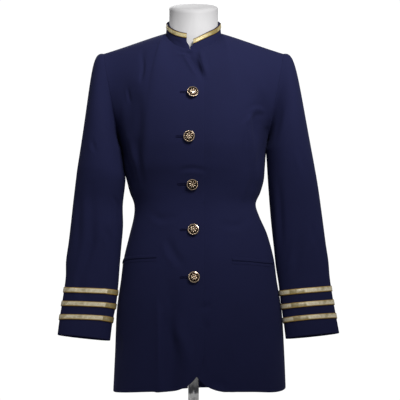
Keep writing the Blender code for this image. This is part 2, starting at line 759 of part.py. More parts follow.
def build_form_torso(shell):
    """The torso fills the jacket with a clearance that narrows to a seat under the shoulder seams."""
    bm = bmesh.new()
    known = {}

    def vertex(point):
        key = tuple(np.round(point, 2))
        if key not in known:
            known[key] = bm.verts.new(point)
        return known[key]

    rings = [[vertex(p) for p in form_ring(r)] for r in FORM_ROWS]
    for low, high in zip(rings, rings[1:]):
        count = len(low)
        for k in range(count):
            m = (k + 1) % count
            corners = []
            for corner in (low[k], low[m], high[m], high[k]):
                if corner not in corners:
                    corners.append(corner)
            if len(corners) > 2:
                bm.faces.new(corners)
    bmesh.ops.recalc_face_normals(bm, faces=bm.faces)
    bm.normal_update()
    moves = []
    for vert in bm.verts:
        x, z = abs(vert.co.x), vert.co.z
        out = (x - NECK_HALF_WIDTH) / (SHOULDER_HALF_WIDTH - NECK_HALF_WIDTH)
        line = mix(Z_NECK_SIDE, Z_SHOULDER_POINT, out)
        near = (smooth(1.0 - (line - z) / SEAT_DEPTH) * smooth((x - SEAT_FROM_X[0]) / SEAT_FADE)
                * smooth((SEAT_FROM_X[1] - x) / SEAT_FADE))
        moves.append(vert.normal * -(WALL + mix(FORM_CLEARANCE, SHOULDER_CLEARANCE, near)))
    for vert, move in zip(bm.verts, moves):
        vert.co += move
    top = rings[-1]
    columns = len(form_columns())
    left, right = columns - len(SIDE_COLUMNS), len(SIDE_COLUMNS) - 1
    ring = top[right:left + 1]
    start = columns + FORM_ARM_STEPS - 1
    ring += top[start + right + 1:start + left]
    seam = [np.array(v.co) for v in ring]
    layers = [ring]
    for share in FORM_NECK_LAYERS:
        layer = []
        for point in seam:
            angle = math.atan2(point[0], -point[1])
            x, y = math.sin(angle) * FORM_NECK_RADIUS, -math.cos(angle) * FORM_NECK_RADIUS
            layer.append(bm.verts.new((x, y, mix(point[2], FORM_NECK_TOP_Z - FORM_NECK_BAND, share))))
        layers.append(layer)
    tilt = math.radians(NECK_CAP_TILT)
    for radius, lift in FORM_NECK_CAP:
        layer = []
        for point in seam:
            angle = math.atan2(point[0], -point[1])
            y = -math.cos(angle) * radius
            z = FORM_NECK_TOP_Z + lift + y * math.tan(tilt)
            layer.append(bm.verts.new((math.sin(angle) * radius, y, z)))
        layers.append(layer)
    for low, high in zip(layers, layers[1:]):
        for k in range(len(low)):
            m = (k + 1) % len(low)
            bm.faces.new((low[k], low[m], high[m], high[k]))
    bm.faces.new(layers[-1])
    lowest = list(dict.fromkeys(rings[0]))
    layers = [lowest]
    middle = np.mean([np.array(v.co) for v in lowest], axis=0)
    for share, height in FORM_FOOT:
        layers.append([bm.verts.new((mix(middle[0], v.co.x, share), mix(middle[1], v.co.y, share),
                                     FORM_BOTTOM_Z + height)) for v in lowest])
    for vert in lowest:
        vert.co.z = FORM_BOTTOM_Z + FORM_FOOT_HEIGHT
    for low, high in zip(layers, layers[1:]):
        for k in range(len(low)):
            m = (k + 1) % len(low)
            bm.faces.new((low[k], low[m], high[m], high[k]))
    bm.faces.new(layers[-1])
    for vert in bm.verts:
        vert.co *= MM
    return add_object("form_torso", bm, shell)


def build_stand(shell):
    up = np.array((0.0, 0.0, 1.0))
    origin = np.zeros(3)
    ends = ((BASE_HEIGHT + SEAT_GAP, POLE_RADIUS), (FORM_BOTTOM_Z - SEAT_GAP, POLE_RADIUS))
    turned_solid("form_pole", ends, origin, up, POLE_SEGMENTS, shell)
    profile = ((0.0, BASE_RADIUS - 1.0), (1.0, BASE_RADIUS), (BASE_HEIGHT - BASE_ROUND, BASE_RADIUS),
               (BASE_HEIGHT - 0.9, BASE_RADIUS - 0.9), (BASE_HEIGHT, BASE_RADIUS - BASE_ROUND))
    turned_solid("form_base", profile, origin, up, BASE_SEGMENTS, shell)


def main():
    for item in list(bpy.data.objects):
        bpy.data.objects.remove(item)
    cloth = new_material("navy_wool", (0.014, 0.016, 0.06), 0.9)
    gold_lace = new_material("gold_lace", (0.55, 0.42, 0.18), 0.5, 0.6)
    gold_metal = new_material("gilt_brass", (0.8, 0.55, 0.18), 0.25, 1.0)
    shell = new_material("white_shell", (0.75, 0.75, 0.76), 0.6)
    fronts = build_body(cloth)
    build_sleeves(cloth, gold_lace)
    build_collar(cloth, gold_lace)
    build_jets(fronts, cloth)
    build_buttons(fronts["right"], gold_metal)
    build_form_torso(shell)
    build_stand(shell)


main()
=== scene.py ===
"""A buttoned uniform jacket on a limbless dress form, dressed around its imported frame.

The front looks along -Y, up is +Z and the form's base stands on z = 0. Right and left in the names are
the wearer's. Sizes are in millimetres until a mesh is made.
"""

from __future__ import annotations

import logging
import math
from dataclasses import dataclass, field
from enum import Enum
from typing import Callable, Iterable, Sequence

import bmesh
import bpy
import numpy as np
from mathutils import Matrix, Vector
from mathutils.bvhtree import BVHTree

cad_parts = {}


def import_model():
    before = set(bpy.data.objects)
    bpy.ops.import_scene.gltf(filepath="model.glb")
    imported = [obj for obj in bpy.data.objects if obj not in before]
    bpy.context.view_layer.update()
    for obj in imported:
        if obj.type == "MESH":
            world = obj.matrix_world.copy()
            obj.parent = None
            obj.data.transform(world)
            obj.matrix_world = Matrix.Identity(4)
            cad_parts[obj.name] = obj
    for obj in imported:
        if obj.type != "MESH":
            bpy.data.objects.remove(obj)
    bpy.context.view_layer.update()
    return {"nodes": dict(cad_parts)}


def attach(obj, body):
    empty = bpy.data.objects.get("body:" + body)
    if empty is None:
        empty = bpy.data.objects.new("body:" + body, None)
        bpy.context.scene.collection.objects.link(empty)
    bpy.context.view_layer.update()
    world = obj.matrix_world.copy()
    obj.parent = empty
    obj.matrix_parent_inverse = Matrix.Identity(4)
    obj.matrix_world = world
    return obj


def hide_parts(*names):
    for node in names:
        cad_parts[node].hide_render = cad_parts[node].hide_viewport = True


LOG = logging.getLogger("jacket")
MM = 0.001
Array = np.ndarray
Item = bpy.types.Object
Material = bpy.types.Material
Socket = bpy.types.NodeSocket
# How often a span is halved to find a place, to far below a micrometre.
BISECTIONS = 36
# How strongly normals follow the slopes of the creases, and how soon cloth that turns aside loses them.
SETTLING = 3.0
FACING = 3.0
# The first rows above the hem, close together where the fronts' corners turn.
CORNER_ROWS = (0.0, 0.0006, 0.0018, 0.004, 0.008, 0.013, 0.02, 0.028, 0.038, 0.05, 0.065, 0.08, 0.097)
# Shares across a band of lace, close at its edges, where it is rolled over.
LACE_SHARES = np.array((0.0, 0.03, 0.08, 0.16, 0.3, 0.42, 0.5, 0.58, 0.7, 0.84, 0.92, 0.97, 1.0))


class Side(Enum):
    """The wearer's side, with the sign of its x."""

    RIGHT = -1
    LEFT = 1

    @property
    def word(self) -> str:
        """The side's name in a piece's name."""
        return self.name.lower()


class Face(Enum):
    """The half of the jacket that a piece or a crease lies on."""

    FRONT = "front"
    BACK = "back"


class Slot(Enum):
    """The record's material slots."""

    WOOL = "navy_wool"
    LACE = "gold_lace"
    GILT = "gilt_button"
    SHELL = "form_shell"


class Edge(Enum):
    """The four edges of a piece's grid."""

    START = "first column"
    END = "last column"
    LOW = "first row"
    HIGH = "last row"


# Curves and tables


def smooth(t: Array | float) -> Array:
    """0 to 1 with level ends, for t from 0 to 1."""
    t = np.clip(t, 0.0, 1.0)
    return t * t * (3.0 - 2.0 * t)


def mix(a: Array | float, b: Array | float, t: Array | float) -> Array:
    """The value a share t of the way from a to b."""
    return a + (b - a) * t


def read_rows(rows: Sequence[Sequence[float]], z: Array | float) -> Array:
    """Reads a table along a smooth curve through its rows.

    Args:
        rows: the table, with the height in its first column.
        z: the heights to read at.

    Returns:
        The other columns, in the last axis.
    """
    table = np.array(sorted(rows), float)
    heights = table[:, 0]
    z = np.clip(np.asarray(z, float), heights[0], heights[-1])
    k = np.clip(np.searchsorted(heights, z) - 1, 0, len(table) - 2)
    before, after = np.maximum(k - 1, 0), np.minimum(k + 2, len(table) - 1)
    step = (heights[k + 1] - heights[k])[..., None]
    t = (z - heights[k])[..., None] / step
    slope_0 = (table[k + 1] - table[before]) / (heights[k + 1] - heights[before])[..., None] * step
    slope_1 = (table[after] - table[k]) / (heights[after] - heights[k])[..., None] * step
    t2, t3 = t * t, t * t * t
    curve = ((2 * t3 - 3 * t2 + 1) * table[k] + (t3 - 2 * t2 + t) * slope_0
             + (3 * t2 - 2 * t3) * table[k + 1] + (t3 - t2) * slope_1)
    return curve[..., 1:]


def oval(angle: Array, power: float) -> tuple[Array, Array]:
    """Sine and cosine of an angle in degrees, squared off by the power."""
    s, c = np.sin(np.radians(angle)), np.cos(np.radians(angle))
    return np.sign(s) * np.abs(s) ** (2.0 / power), np.sign(c) * np.abs(c) ** (2.0 / power)


def spread(*values: Array | float) -> list[Array]:
    """The values as arrays of one shape."""
    return np.broadcast_arrays(*(np.asarray(value, float) for value in values))


def stack(x: Array, y: Array, z: Array) -> Array:
    """Points from their coordinates, spread to one shape."""
    return np.stack(np.broadcast_arrays(x, y, z), axis=-1).astype(float)


def unit(vectors: Array) -> Array:
    """The vectors at length 1."""
    return vectors / np.maximum(np.linalg.norm(vectors, axis=-1, keepdims=True), 1e-9)


def steps_along(points: Array, axis: int) -> Array:
    """Length run along a grid's rows (axis 1) or columns (axis 0), from 0 at the first."""
    gaps = np.linalg.norm(np.diff(points, axis=axis), axis=-1)
    start = np.zeros_like(np.take(gaps, [0], axis=axis))
    return np.concatenate((start, np.cumsum(gaps, axis=axis)), axis=axis)


def grid_normals(points: Array) -> Array:
    """Unit normals of a grid of points, from its own slopes: across the rows, then up the columns."""
    return unit(np.cross(np.gradient(points, axis=1), np.gradient(points, axis=0)))


def settle(points: Array, normals: Array, share: Array) -> Array:
    """Normals turned towards the slopes of the creased points, by a share at each point."""
    slope = grid_normals(points)
    slope = slope * np.sign((slope * normals).sum(axis=-1, keepdims=True))
    return unit(normals + slope * SETTLING * share[..., None])


def crowned(share: Array, lift: float, crown: float) -> Array:
    """A lift that rises by the crown in the middle of a band whose rows lie at the shares."""
    if crown == 0.0:
        return np.full(share.shape, lift)
    part = (share - share[:1]) / (share[-1:] - share[:1])
    return lift + crown * np.sin(np.pi * part) ** 0.5


def bisect(low: Array, high: Array, is_below: Callable[[Array], Array]) -> Array:
    """The places between two bounds at which a test turns false."""
    for _ in range(BISECTIONS):
        middle = 0.5 * (low + high)
        below = is_below(middle)
        low, high = np.where(below, middle, low), np.where(below, high, middle)
    return 0.5 * (low + high)


# Creases


@dataclass(frozen=True)
class Crease:
    """One soft trough, or a ridge where its depth is negative.

    path holds x and z of its line as seen from the front, half its half width and depth how far it goes in.
    Cloth is pushed up into a low lip on both sides; lip_at and lip_half are shares of the half width.
    """

    path: tuple[tuple[float, float], ...]
    half: float
    depth: float
    lip: float = 0.3
    lip_at: float = 1.8
    lip_half: float = 0.8
    taper: float = 0.7

    def line(self, count: int = 10) -> Array:
        """Points along the smooth line through the path."""
        points = np.array(self.path, float)
        if len(points) == 2:
            return mix(points[0], points[1], np.linspace(0.0, 1.0, count)[:, None])
        rows = [(k, *point) for k, point in enumerate(self.path)]
        return read_rows(rows, np.linspace(0.0, len(points) - 1.0, count))

    def depth_at(self, x: Array, z: Array) -> Array:
        """How far the surface is pressed in at places seen from the front."""
        line = self.line()
        place = np.stack((x, z), axis=-1)
        nearest = np.full(x.shape, 1e9)
        along = np.zeros(x.shape)
        side = np.ones(x.shape)
        for k, (start, end) in enumerate(zip(line, line[1:])):
            run = end - start
            t = np.clip(((place - start) @ run) / (run @ run), 0.0, 1.0)
            off = place - (start + t[..., None] * run)
            distance = np.linalg.norm(off, axis=-1)
            closer = distance < nearest
            nearest = np.where(closer, distance, nearest)
            along = np.where(closer, (k + t) / (len(line) - 1), along)
            side = np.where(closer, np.sign(off[..., 0] * run[1] - off[..., 1] * run[0]), side)
        q = nearest / self.half
        ends = np.sin(np.pi * np.clip(along, 0.02, 0.98)) ** self.taper
        lips = np.exp(-((q - self.lip_at) / self.lip_half) ** 2) * (1.0 + 0.5 * side)
        return self.depth * ends * (np.exp(-q * q) - self.lip * lips)


def read_creases(rows: Iterable[Sequence]) -> tuple[Crease, ...]:
    """Creases from rows of half width, depth, then the places along the line."""
    return tuple(Crease(tuple(path), half, depth) for half, depth, *path in rows)


def facing(normals: Array) -> Array:
    """1 where the cloth faces the front or the back, 0 where it turns to the side."""
    return smooth(normals[..., 1] ** 2 * FACING)


def press_in(creases: Iterable[Crease], points: Array, normals: Array) -> Array:
    """The sum of all creases at a grid of points, less where the cloth turns to the side."""
    total = np.zeros(points.shape[:-1])
    for crease in creases:
        total = total + crease.depth_at(points[..., 0], points[..., 2])
    return total * facing(normals)


def rumple(points: Array, normals: Array, amount: float, shift: float) -> Array:
    """The slight unevenness of worn wool, from a few long waves that cross each other."""
    x, y, z = points[..., 0] + shift, points[..., 1], points[..., 2]
    waves = (np.sin(x / 17.0 + 0.8 * np.sin(z / 41.0)) * np.sin(z / 33.0 + 1.3)
             + 0.7 * np.sin((x + 0.6 * z) / 23.0 + np.sin(x / 29.0)) * np.sin((z - y) / 47.0)
             + 0.5 * np.sin((x - 1.4 * z) / 14.0 + 2.0) * np.sin((z + x) / 61.0 + 0.5))
    return amount * waves * facing(normals)


# Meshes


def link_object(name: str, mesh: bpy.types.Mesh) -> Item:
    """Puts a mesh into the scene as a new object at the origin."""
    item = bpy.data.objects.new(name, mesh)
    bpy.context.scene.collection.objects.link(item)
    return item


@dataclass
class Wall:
    """A closed cloth wall on a grid of points of its outside, with its free edges rolled over."""

    name: str
    points: Array
    normals: Array
    wall: Array | float
    roll: float = 1.0
    seams: tuple[Edge, ...] = ()
    uv_shift: float = 0.0
    seam_roll: float = 0.2
    # how near the rolled rim comes to standing upright, and the most of the wall that it takes
    steepness: float = 0.98
    rim_share: float = 0.42

    def rolled(self) -> tuple[Array, Array]:
        """The outer and inner grids, which draw together at every edge."""
        across, along = steps_along(self.points, 1), steps_along(self.points, 0)
        ways = {Edge.START: across, Edge.END: across[:, -1:] - across,
                Edge.LOW: along, Edge.HIGH: along[-1:] - along}
        wall = np.broadcast_to(np.asarray(self.wall, float), across.shape)
        sink = np.zeros(across.shape)
        for edge, distance in ways.items():
            roll = self.seam_roll if edge in self.seams else self.roll
            lack = 1.0 - np.clip(distance / roll, 0.0, 1.0)
            bend = roll * (1.0 - np.sqrt(1.0 - self.steepness * lack * lack))
            sink = np.maximum(sink, np.minimum(bend, self.rim_share * wall))
        return (self.points - self.normals * sink[..., None],
                self.points - self.normals * (wall - sink)[..., None])

    def build(self, material: Material) -> Item:
        """Makes the object, with a UV map in metres across and along the cloth."""
        outer, inner = self.rolled()
        rows, cols = outer.shape[:2]
        verts = np.concatenate((outer.reshape(-1, 3), inner.reshape(-1, 3))) * MM
        index = np.arange(rows * cols).reshape(rows, cols)
        a, b, c, d = (index[:-1, :-1], index[:-1, 1:], index[1:, 1:], index[1:, :-1])
        front = np.stack((a, b, c, d), axis=-1).reshape(-1, 4)
        back = np.stack((d, c, b, a), axis=-1).reshape(-1, 4) + rows * cols
        rim = np.concatenate((index[0, :-1], index[:-1, -1], index[-1, :0:-1], index[:0:-1, 0]))
        after = np.roll(rim, -1)
        edge = np.stack((after, rim, rim + rows * cols, after + rows * cols), axis=-1)
        faces = np.concatenate((front, back, edge))
        mesh = bpy.data.meshes.new(self.name)
        mesh.from_pydata(verts.tolist(), [], faces.tolist())
        bm = bmesh.new()
        bm.from_mesh(mesh)
        bmesh.ops.recalc_face_normals(bm, faces=bm.faces)
        if bm.calc_volume(signed=True) < 0.0:
            bmesh.ops.reverse_faces(bm, faces=bm.faces)
        bm.to_mesh(mesh)
        bm.free()
        self.add_uv(mesh)
        mesh.materials.append(material)
        mesh.shade_smooth()
        return link_object(self.name, mesh)

    def add_uv(self, mesh: bpy.types.Mesh) -> None:
        """Writes the UV map: u across the cloth and v along it, both in metres."""
        across = steps_along(self.points, 1)
        u = (across - across[:, -1:] * 0.5).reshape(-1)
        v = np.broadcast_to(steps_along(self.points, 0).mean(axis=1)[:, None], across.shape).reshape(-1)
        flat = np.column_stack((u + self.uv_shift, v)) * MM
        flat = np.concatenate((flat, flat))
        layer = mesh.uv_layers.new(name="cloth")
        loops = np.zeros(len(mesh.loops), int)
        mesh.loops.foreach_get("vertex_index", loops)
        layer.data.foreach_set("uv", flat[loops].reshape(-1).astype(np.float32))

    def area(self) -> float:
        """The cloth's flat area in square metres, on the middle of the wall."""
        wall = np.broadcast_to(self.wall, self.points.shape[:2])[..., None]
        middle = self.points - self.normals * 0.5 * wall
        a = middle[1:, 1:] - middle[:-1, :-1]
        b = middle[1:, :-1] - middle[:-1, 1:]
        return float(0.5 * np.linalg.norm(np.cross(a, b), axis=-1).sum()) * MM * MM


def skin_of(item: Item) -> BVHTree:
    """A tree of an object's faces for ray casts."""
    return BVHTree.FromObject(item, bpy.context.evaluated_depsgraph_get())


def seat_on(skin: BVHTree, point: Array, normal: Array) -> Array:
    """The place, in millimetres, where a line along the normal first meets the faces."""
    start = Vector((point + normal * 30.0) * MM)
    hit = skin.ray_cast(start, Vector(-normal))[0]
    return point if hit is None else np.array(hit) / MM


def deselect() -> None:
    """Leaves object mode with nothing selected."""
    if bpy.context.object is not None and bpy.context.object.mode != "OBJECT":
        bpy.ops.object.mode_set(mode="OBJECT")
    bpy.ops.object.select_all(action="DESELECT")


def pick_faces(item: Item, wanted: Callable[[bpy.types.MeshPolygon], bool]) -> None:
    """Selects the faces that fit a test, and opens edit mode on them."""
    if bpy.context.object.mode != "OBJECT":
        bpy.ops.object.mode_set(mode="OBJECT")
    bpy.ops.object.mode_set(mode="EDIT")
    bpy.ops.mesh.select_mode(type="FACE")
    bpy.ops.mesh.select_all(action="DESELECT")
    bpy.ops.object.mode_set(mode="OBJECT")
    for polygon in item.data.polygons:
        polygon.select = wanted(polygon)
    bpy.ops.object.mode_set(mode="EDIT")


# Finishes


def linear(code: str) -> tuple[float, float, float, float]:
    """A linear colour from an sRGB hex value such as "1A2B3C"."""
    values = [int(code[k:k + 2], 16) / 255.0 for k in (0, 2, 4)]
    return (*(v / 12.92 if v <= 0.04045 else ((v + 0.055) / 1.055) ** 2.4 for v in values), 1.0)


def add_node(tree: bpy.types.NodeTree, kind: str, settings: dict | None = None,
             links: dict | None = None) -> bpy.types.Node:
    """Adds one node.

    Args:
        tree: the node tree.
        kind: the node's type name, without its ShaderNode prefix.
        settings: values by attribute name, or by input name or number.
        links: output sockets by input name or number.

    Returns:
        The new node.
    """
    node = tree.nodes.new("ShaderNode" + kind)
    for key, value in (settings or {}).items():
        if isinstance(key, str) and key not in node.inputs:
            setattr(node, key, value)
        else:
            node.inputs[key].default_value = value
    for key, socket in (links or {}).items():
        tree.links.new(socket, node.inputs[key])
    return node


class Finish:
    """A material in the making, with the nodes that the finishes share."""

    def __init__(self, name: str) -> None:
        """Starts with a material that has only its shader."""
        self.material = bpy.data.materials.new(name)
        self.material.use_nodes = True
        self.tree = self.material.node_tree
        self.shader = self.tree.nodes["Principled BSDF"]

    def cloth_map(self) -> Socket:
        """The cloth's own UV map, in metres."""
        return add_node(self.tree, "UVMap", {"uv_map": "cloth"}).outputs[0]

    def place(self) -> Socket:
        """The place on the object, in metres."""
        return add_node(self.tree, "TexCoord").outputs["Object"]

    def noise(self, place: Socket, scale: float, detail: float = 2.0,
              roughness: float = 0.5) -> Socket:
        """Noise at a place."""
        return add_node(self.tree, "TexNoise", {"Scale": scale, "Detail": detail, "Roughness": roughness},
                        {"Vector": place}).outputs["Fac"]

    def math(self, operation: str, numbers: dict[int, float],
             sockets: dict[int, Socket]) -> Socket:
        """A sum on sockets and numbers, by input number."""
        return add_node(self.tree, "Math", {"operation": operation, **numbers}, sockets).outputs[0]

    def ramp(self, value: Socket, start: float = 0.0, end: float = 1.0, low: float = 0.0,
             high: float = 1.0) -> Socket:
        """Turns start to end into low to high."""
        return add_node(self.tree, "MapRange", {"From Min": start, "From Max": end, "To Min": low,
                                                "To Max": high}, {"Value": value}).outputs[0]

    def level(self, share: float, low: Socket,
              high: Socket) -> Socket:
        """A value a fixed share of the way from low to high."""
        return add_node(self.tree, "Mix", {"data_type": "FLOAT", 0: share}, {2: low, 3: high}).outputs[0]

    def blend(self, share: Socket, low: str | Socket,
              high: str) -> Socket:
        """A colour between low, a hex value or a socket, and high, a hex value."""
        codes, sockets = {7: linear(high)}, {0: share}
        if isinstance(low, str):
            codes[6] = linear(low)
        else:
            sockets[6] = low
        return add_node(self.tree, "Mix", {"data_type": "RGBA", **codes}, sockets).outputs[2]

    def done(self, height: Socket, strength: float, distance: float,
             values: dict) -> Material:
        """Adds the bump and the shader's values, which are sockets or constants by input name."""
        bump = add_node(self.tree, "Bump", {"Strength": strength, "Distance": distance}, {"Height": height})
        self.tree.links.new(bump.outputs[0], self.shader.inputs["Normal"])
        for key, value in values.items():
            if isinstance(value, Socket):
                self.tree.links.new(value, self.shader.inputs[key])
            else:
                self.shader.inputs[key].default_value = value
        return self.material


@dataclass(frozen=True)
class WoolSerge:
    """Navy worsted serge: a fine twill that drinks light, with a faint blue bloom where it turns away."""

    dark: str = "181A34"
    light: str = "22254A"
    bloom: str = "7F86C8"
    thread: float = 0.6
    roughness: float = 0.88

    def build(self) -> Material:
        """Makes the material. The twill reads the cloth's own UV map, in metres."""
        finish = Finish("navy_wool_serge")
        cloth = finish.cloth_map()
        # Real serge has about 0.4 mm between its diagonals, drawn here at 0.6 mm.
        twill = add_node(finish.tree, "TexWave", {"wave_type": "BANDS", "bands_direction": "DIAGONAL",
                                                  "Scale": 0.16 / (self.thread * MM), "Distortion": 0.6,
                                                  "Detail": 2.0, "Detail Scale": 2.0}, {"Vector": cloth})
        weave = finish.level(0.45, twill.outputs["Fac"], finish.noise(cloth, 420.0, 4.0, 0.6))
        tone = finish.level(0.35, weave, finish.noise(cloth, 9.0, 3.0, 0.55))
        return finish.done(weave, 0.2, 0.0004, {
            "Base Color": finish.blend(tone, self.dark, self.light), "Roughness": self.roughness,
            "Specular IOR Level": 0.1, "Sheen Weight": 0.07, "Sheen Roughness": 0.5,
            "Sheen Tint": linear(self.bloom)})


@dataclass(frozen=True)
class GoldLaceBraid:
    """Woven wire lace: gilt threads in a chevron, lightened towards near white on their tops as a painted
    highlight and left duller between them as painted shade, with tarnished patches.
    """

    # the near-white painted highlight on the threads' tops; dull is the colour left between them, in painted
    # shade
    bright: str = "FBF3DA"
    dull: str = "C6B27C"
    tarnish: str = "86743A"
    line: str = "B08A38"
    selvedge: str = "4C3A14"
    width: float = 12.0
    chevron: float = 2.6
    name: str = "gold_wire_lace"

    def build(self) -> Material:
        """Makes the material. The chevron reads the band's own UV map, in metres."""
        finish = Finish(self.name)
        cloth = finish.cloth_map()
        split = add_node(finish.tree, "SeparateXYZ", {}, {0: cloth})
        fold = finish.math("ABSOLUTE", {}, {0: split.outputs[1]})
        slant = finish.math("MULTIPLY_ADD", {1: 0.9}, {0: fold, 2: split.outputs[0]})
        # The real threads lie about 0.3 mm apart; the chevron that they make repeats every 2.6 mm.
        turns = finish.math("MULTIPLY", {1: 2.0 * math.pi / (self.chevron * MM)}, {0: slant})
        ridge = finish.math("SINE", {}, {0: turns})
        height = finish.math("MULTIPLY_ADD", {1: 0.3, 2: 0.2}, {0: ridge})
        both = finish.math("ADD", {}, {0: height, 1: finish.noise(cloth, 160.0, 4.0, 0.7)})
        # how far up a thread's ridge a place lies: it sets the roughness and the painted highlight on the
        # tops
        reach = finish.ramp(both, 0.35, 0.95)
        # 0 in the middle of the band and 1 at its edges.
        off = finish.math("MULTIPLY_ADD", {1: 2.0 / (self.width * MM), 2: -1.0}, {0: split.outputs[1]})
        out = finish.math("ABSOLUTE", {}, {0: off})
        worn = finish.ramp(finish.noise(cloth, 17.0, 3.0, 0.6), 0.48, 0.58, high=0.85)
        # Painted light: the threads' tops are lightened towards near white as a painted highlight, and the
        # valleys between them stay duller as painted shade.
        colour = finish.blend(reach, self.dull, self.bright)
        colour = finish.blend(worn, colour, self.tarnish)
        colour = finish.blend(finish.ramp(out, 0.62, 0.8), colour, self.line)
        colour = finish.blend(finish.ramp(out, 0.86, 0.98), colour, self.selvedge)
        return finish.done(both, 0.6, 0.0006, {
            "Base Color": colour, "Roughness": finish.ramp(reach, low=0.6, high=0.36), "Metallic": 0.2})


@dataclass(frozen=True)
class GiltBrass:
    """Die-struck gilt brass, for the pale face and for the sunk ground, which is painted near black: partly
    brown patina, partly painted shade of the recesses.
    """

    name: str
    base: str
    roughness: float

    def build(self) -> Material:
        """Makes the material, with fine handling marks in its gloss."""
        finish = Finish(self.name)
        marks = finish.noise(finish.place(), 900.0, 5.0)
        shade = add_node(finish.tree, "HueSaturation", {"Color": linear(self.base)},
                         {"Value": finish.ramp(marks, low=0.85, high=1.1)})
        rough = finish.ramp(marks, low=self.roughness - 0.07, high=self.roughness + 0.1)
        return finish.done(marks, 0.08, 0.0002, {
            "Base Color": shade.outputs[0], "Roughness": rough, "Metallic": 1.0})


@dataclass(frozen=True)
class ButtonholeTwist:
    """Waxed silk twist in navy: a tight, slightly glossy thread round each buttonhole."""

    colour: str = "12143A"
    shade: str = "0A0B22"

    def build(self) -> Material:
        """Makes the material, with the thread's turns as a fine bump."""
        finish = Finish("navy_buttonhole_twist")
        turns = add_node(finish.tree, "TexWave", {"Scale": 300.0, "Distortion": 1.0},
                         {"Vector": finish.place()}).outputs["Fac"]
        return finish.done(turns, 0.4, 0.0003, {
            "Base Color": finish.blend(turns, self.shade, self.colour), "Roughness": 0.9,
            "Specular IOR Level": 0.15})


@dataclass(frozen=True)
class LacqueredShell:
    """Satin white lacquer on a moulded glass-fibre form, with the faint orange peel that spraying leaves."""

    name: str = "white_lacquered_shell"
    colour: str = "C4C3C4"
    shade: str = "BCBBBC"
    metallic: float = 0.0
    roughness: float = 0.6

    def build(self) -> Material:
        """Makes the material."""
        finish = Finish(self.name)
        place = finish.place()
        colour = finish.blend(finish.noise(place, 14.0, 4.0), self.shade, self.colour)
        return finish.done(finish.noise(place, 350.0), 0.1, 0.0003, {
            "Base Color": colour, "Roughness": self.roughness, "Metallic": self.metallic})


@dataclass(frozen=True)
class PaperWhite:
    """White studio paper: quite matt, so that it gives the part a soft pale ground."""

    colour: str = "F2F2F0"

    def build(self) -> Material:
        """Makes the material, with the paper's faint tooth."""
        finish = Finish("white_studio_paper")
        return finish.done(finish.noise(finish.place(), 600.0), 0.1, 0.0003, {
            "Base Color": linear(self.colour), "Roughness": 1.0})


def finished(kind: type, *values: object, **named: object) -> Material:
    """A palette's field that builds a finish when the palette is made."""
    return field(default_factory=lambda: kind(*values, **named).build())


@dataclass(frozen=True)
class Palette:
    """Every finished material."""

    wool: Material = finished(WoolSerge)
    lace: Material = finished(GoldLaceBraid)
    # The collar's lace carries the same painted highlight on its threads' tops, in duller colours.
    collar_lace: Material = finished(
        GoldLaceBraid, bright="E6DBAE", dull="A48E4C", line="927328", width=10.6, name="worn_gold_wire_lace")
    gilt: Material = finished(GiltBrass, "gilt_brass_face", "C8B49C", 0.17)
    # The sunk ground, painted near black: brown patina together with painted shade of the recesses.
    ground: Material = finished(GiltBrass, "gilt_brass_ground", "1E130E", 0.4)
    twist: Material = finished(ButtonholeTwist)
    shell: Material = finished(LacqueredShell)
    enamel: Material = finished(
        LacqueredShell, "pearl_enamelled_steel", "FAFAFA", "F4F4F4", 0.7, 0.16)
    paper: Material = finished(PaperWhite)


def dress(item: Item, slot: Slot, *nodes: str) -> Item:
    """Lets a piece ride on the part and hides the nodes that it stands for."""
    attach(item, "root")
    if nodes:
        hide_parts(*nodes)
    LOG.info("%s: %d faces", item.name, len(item.data.polygons))
    return item


# The jacket's body


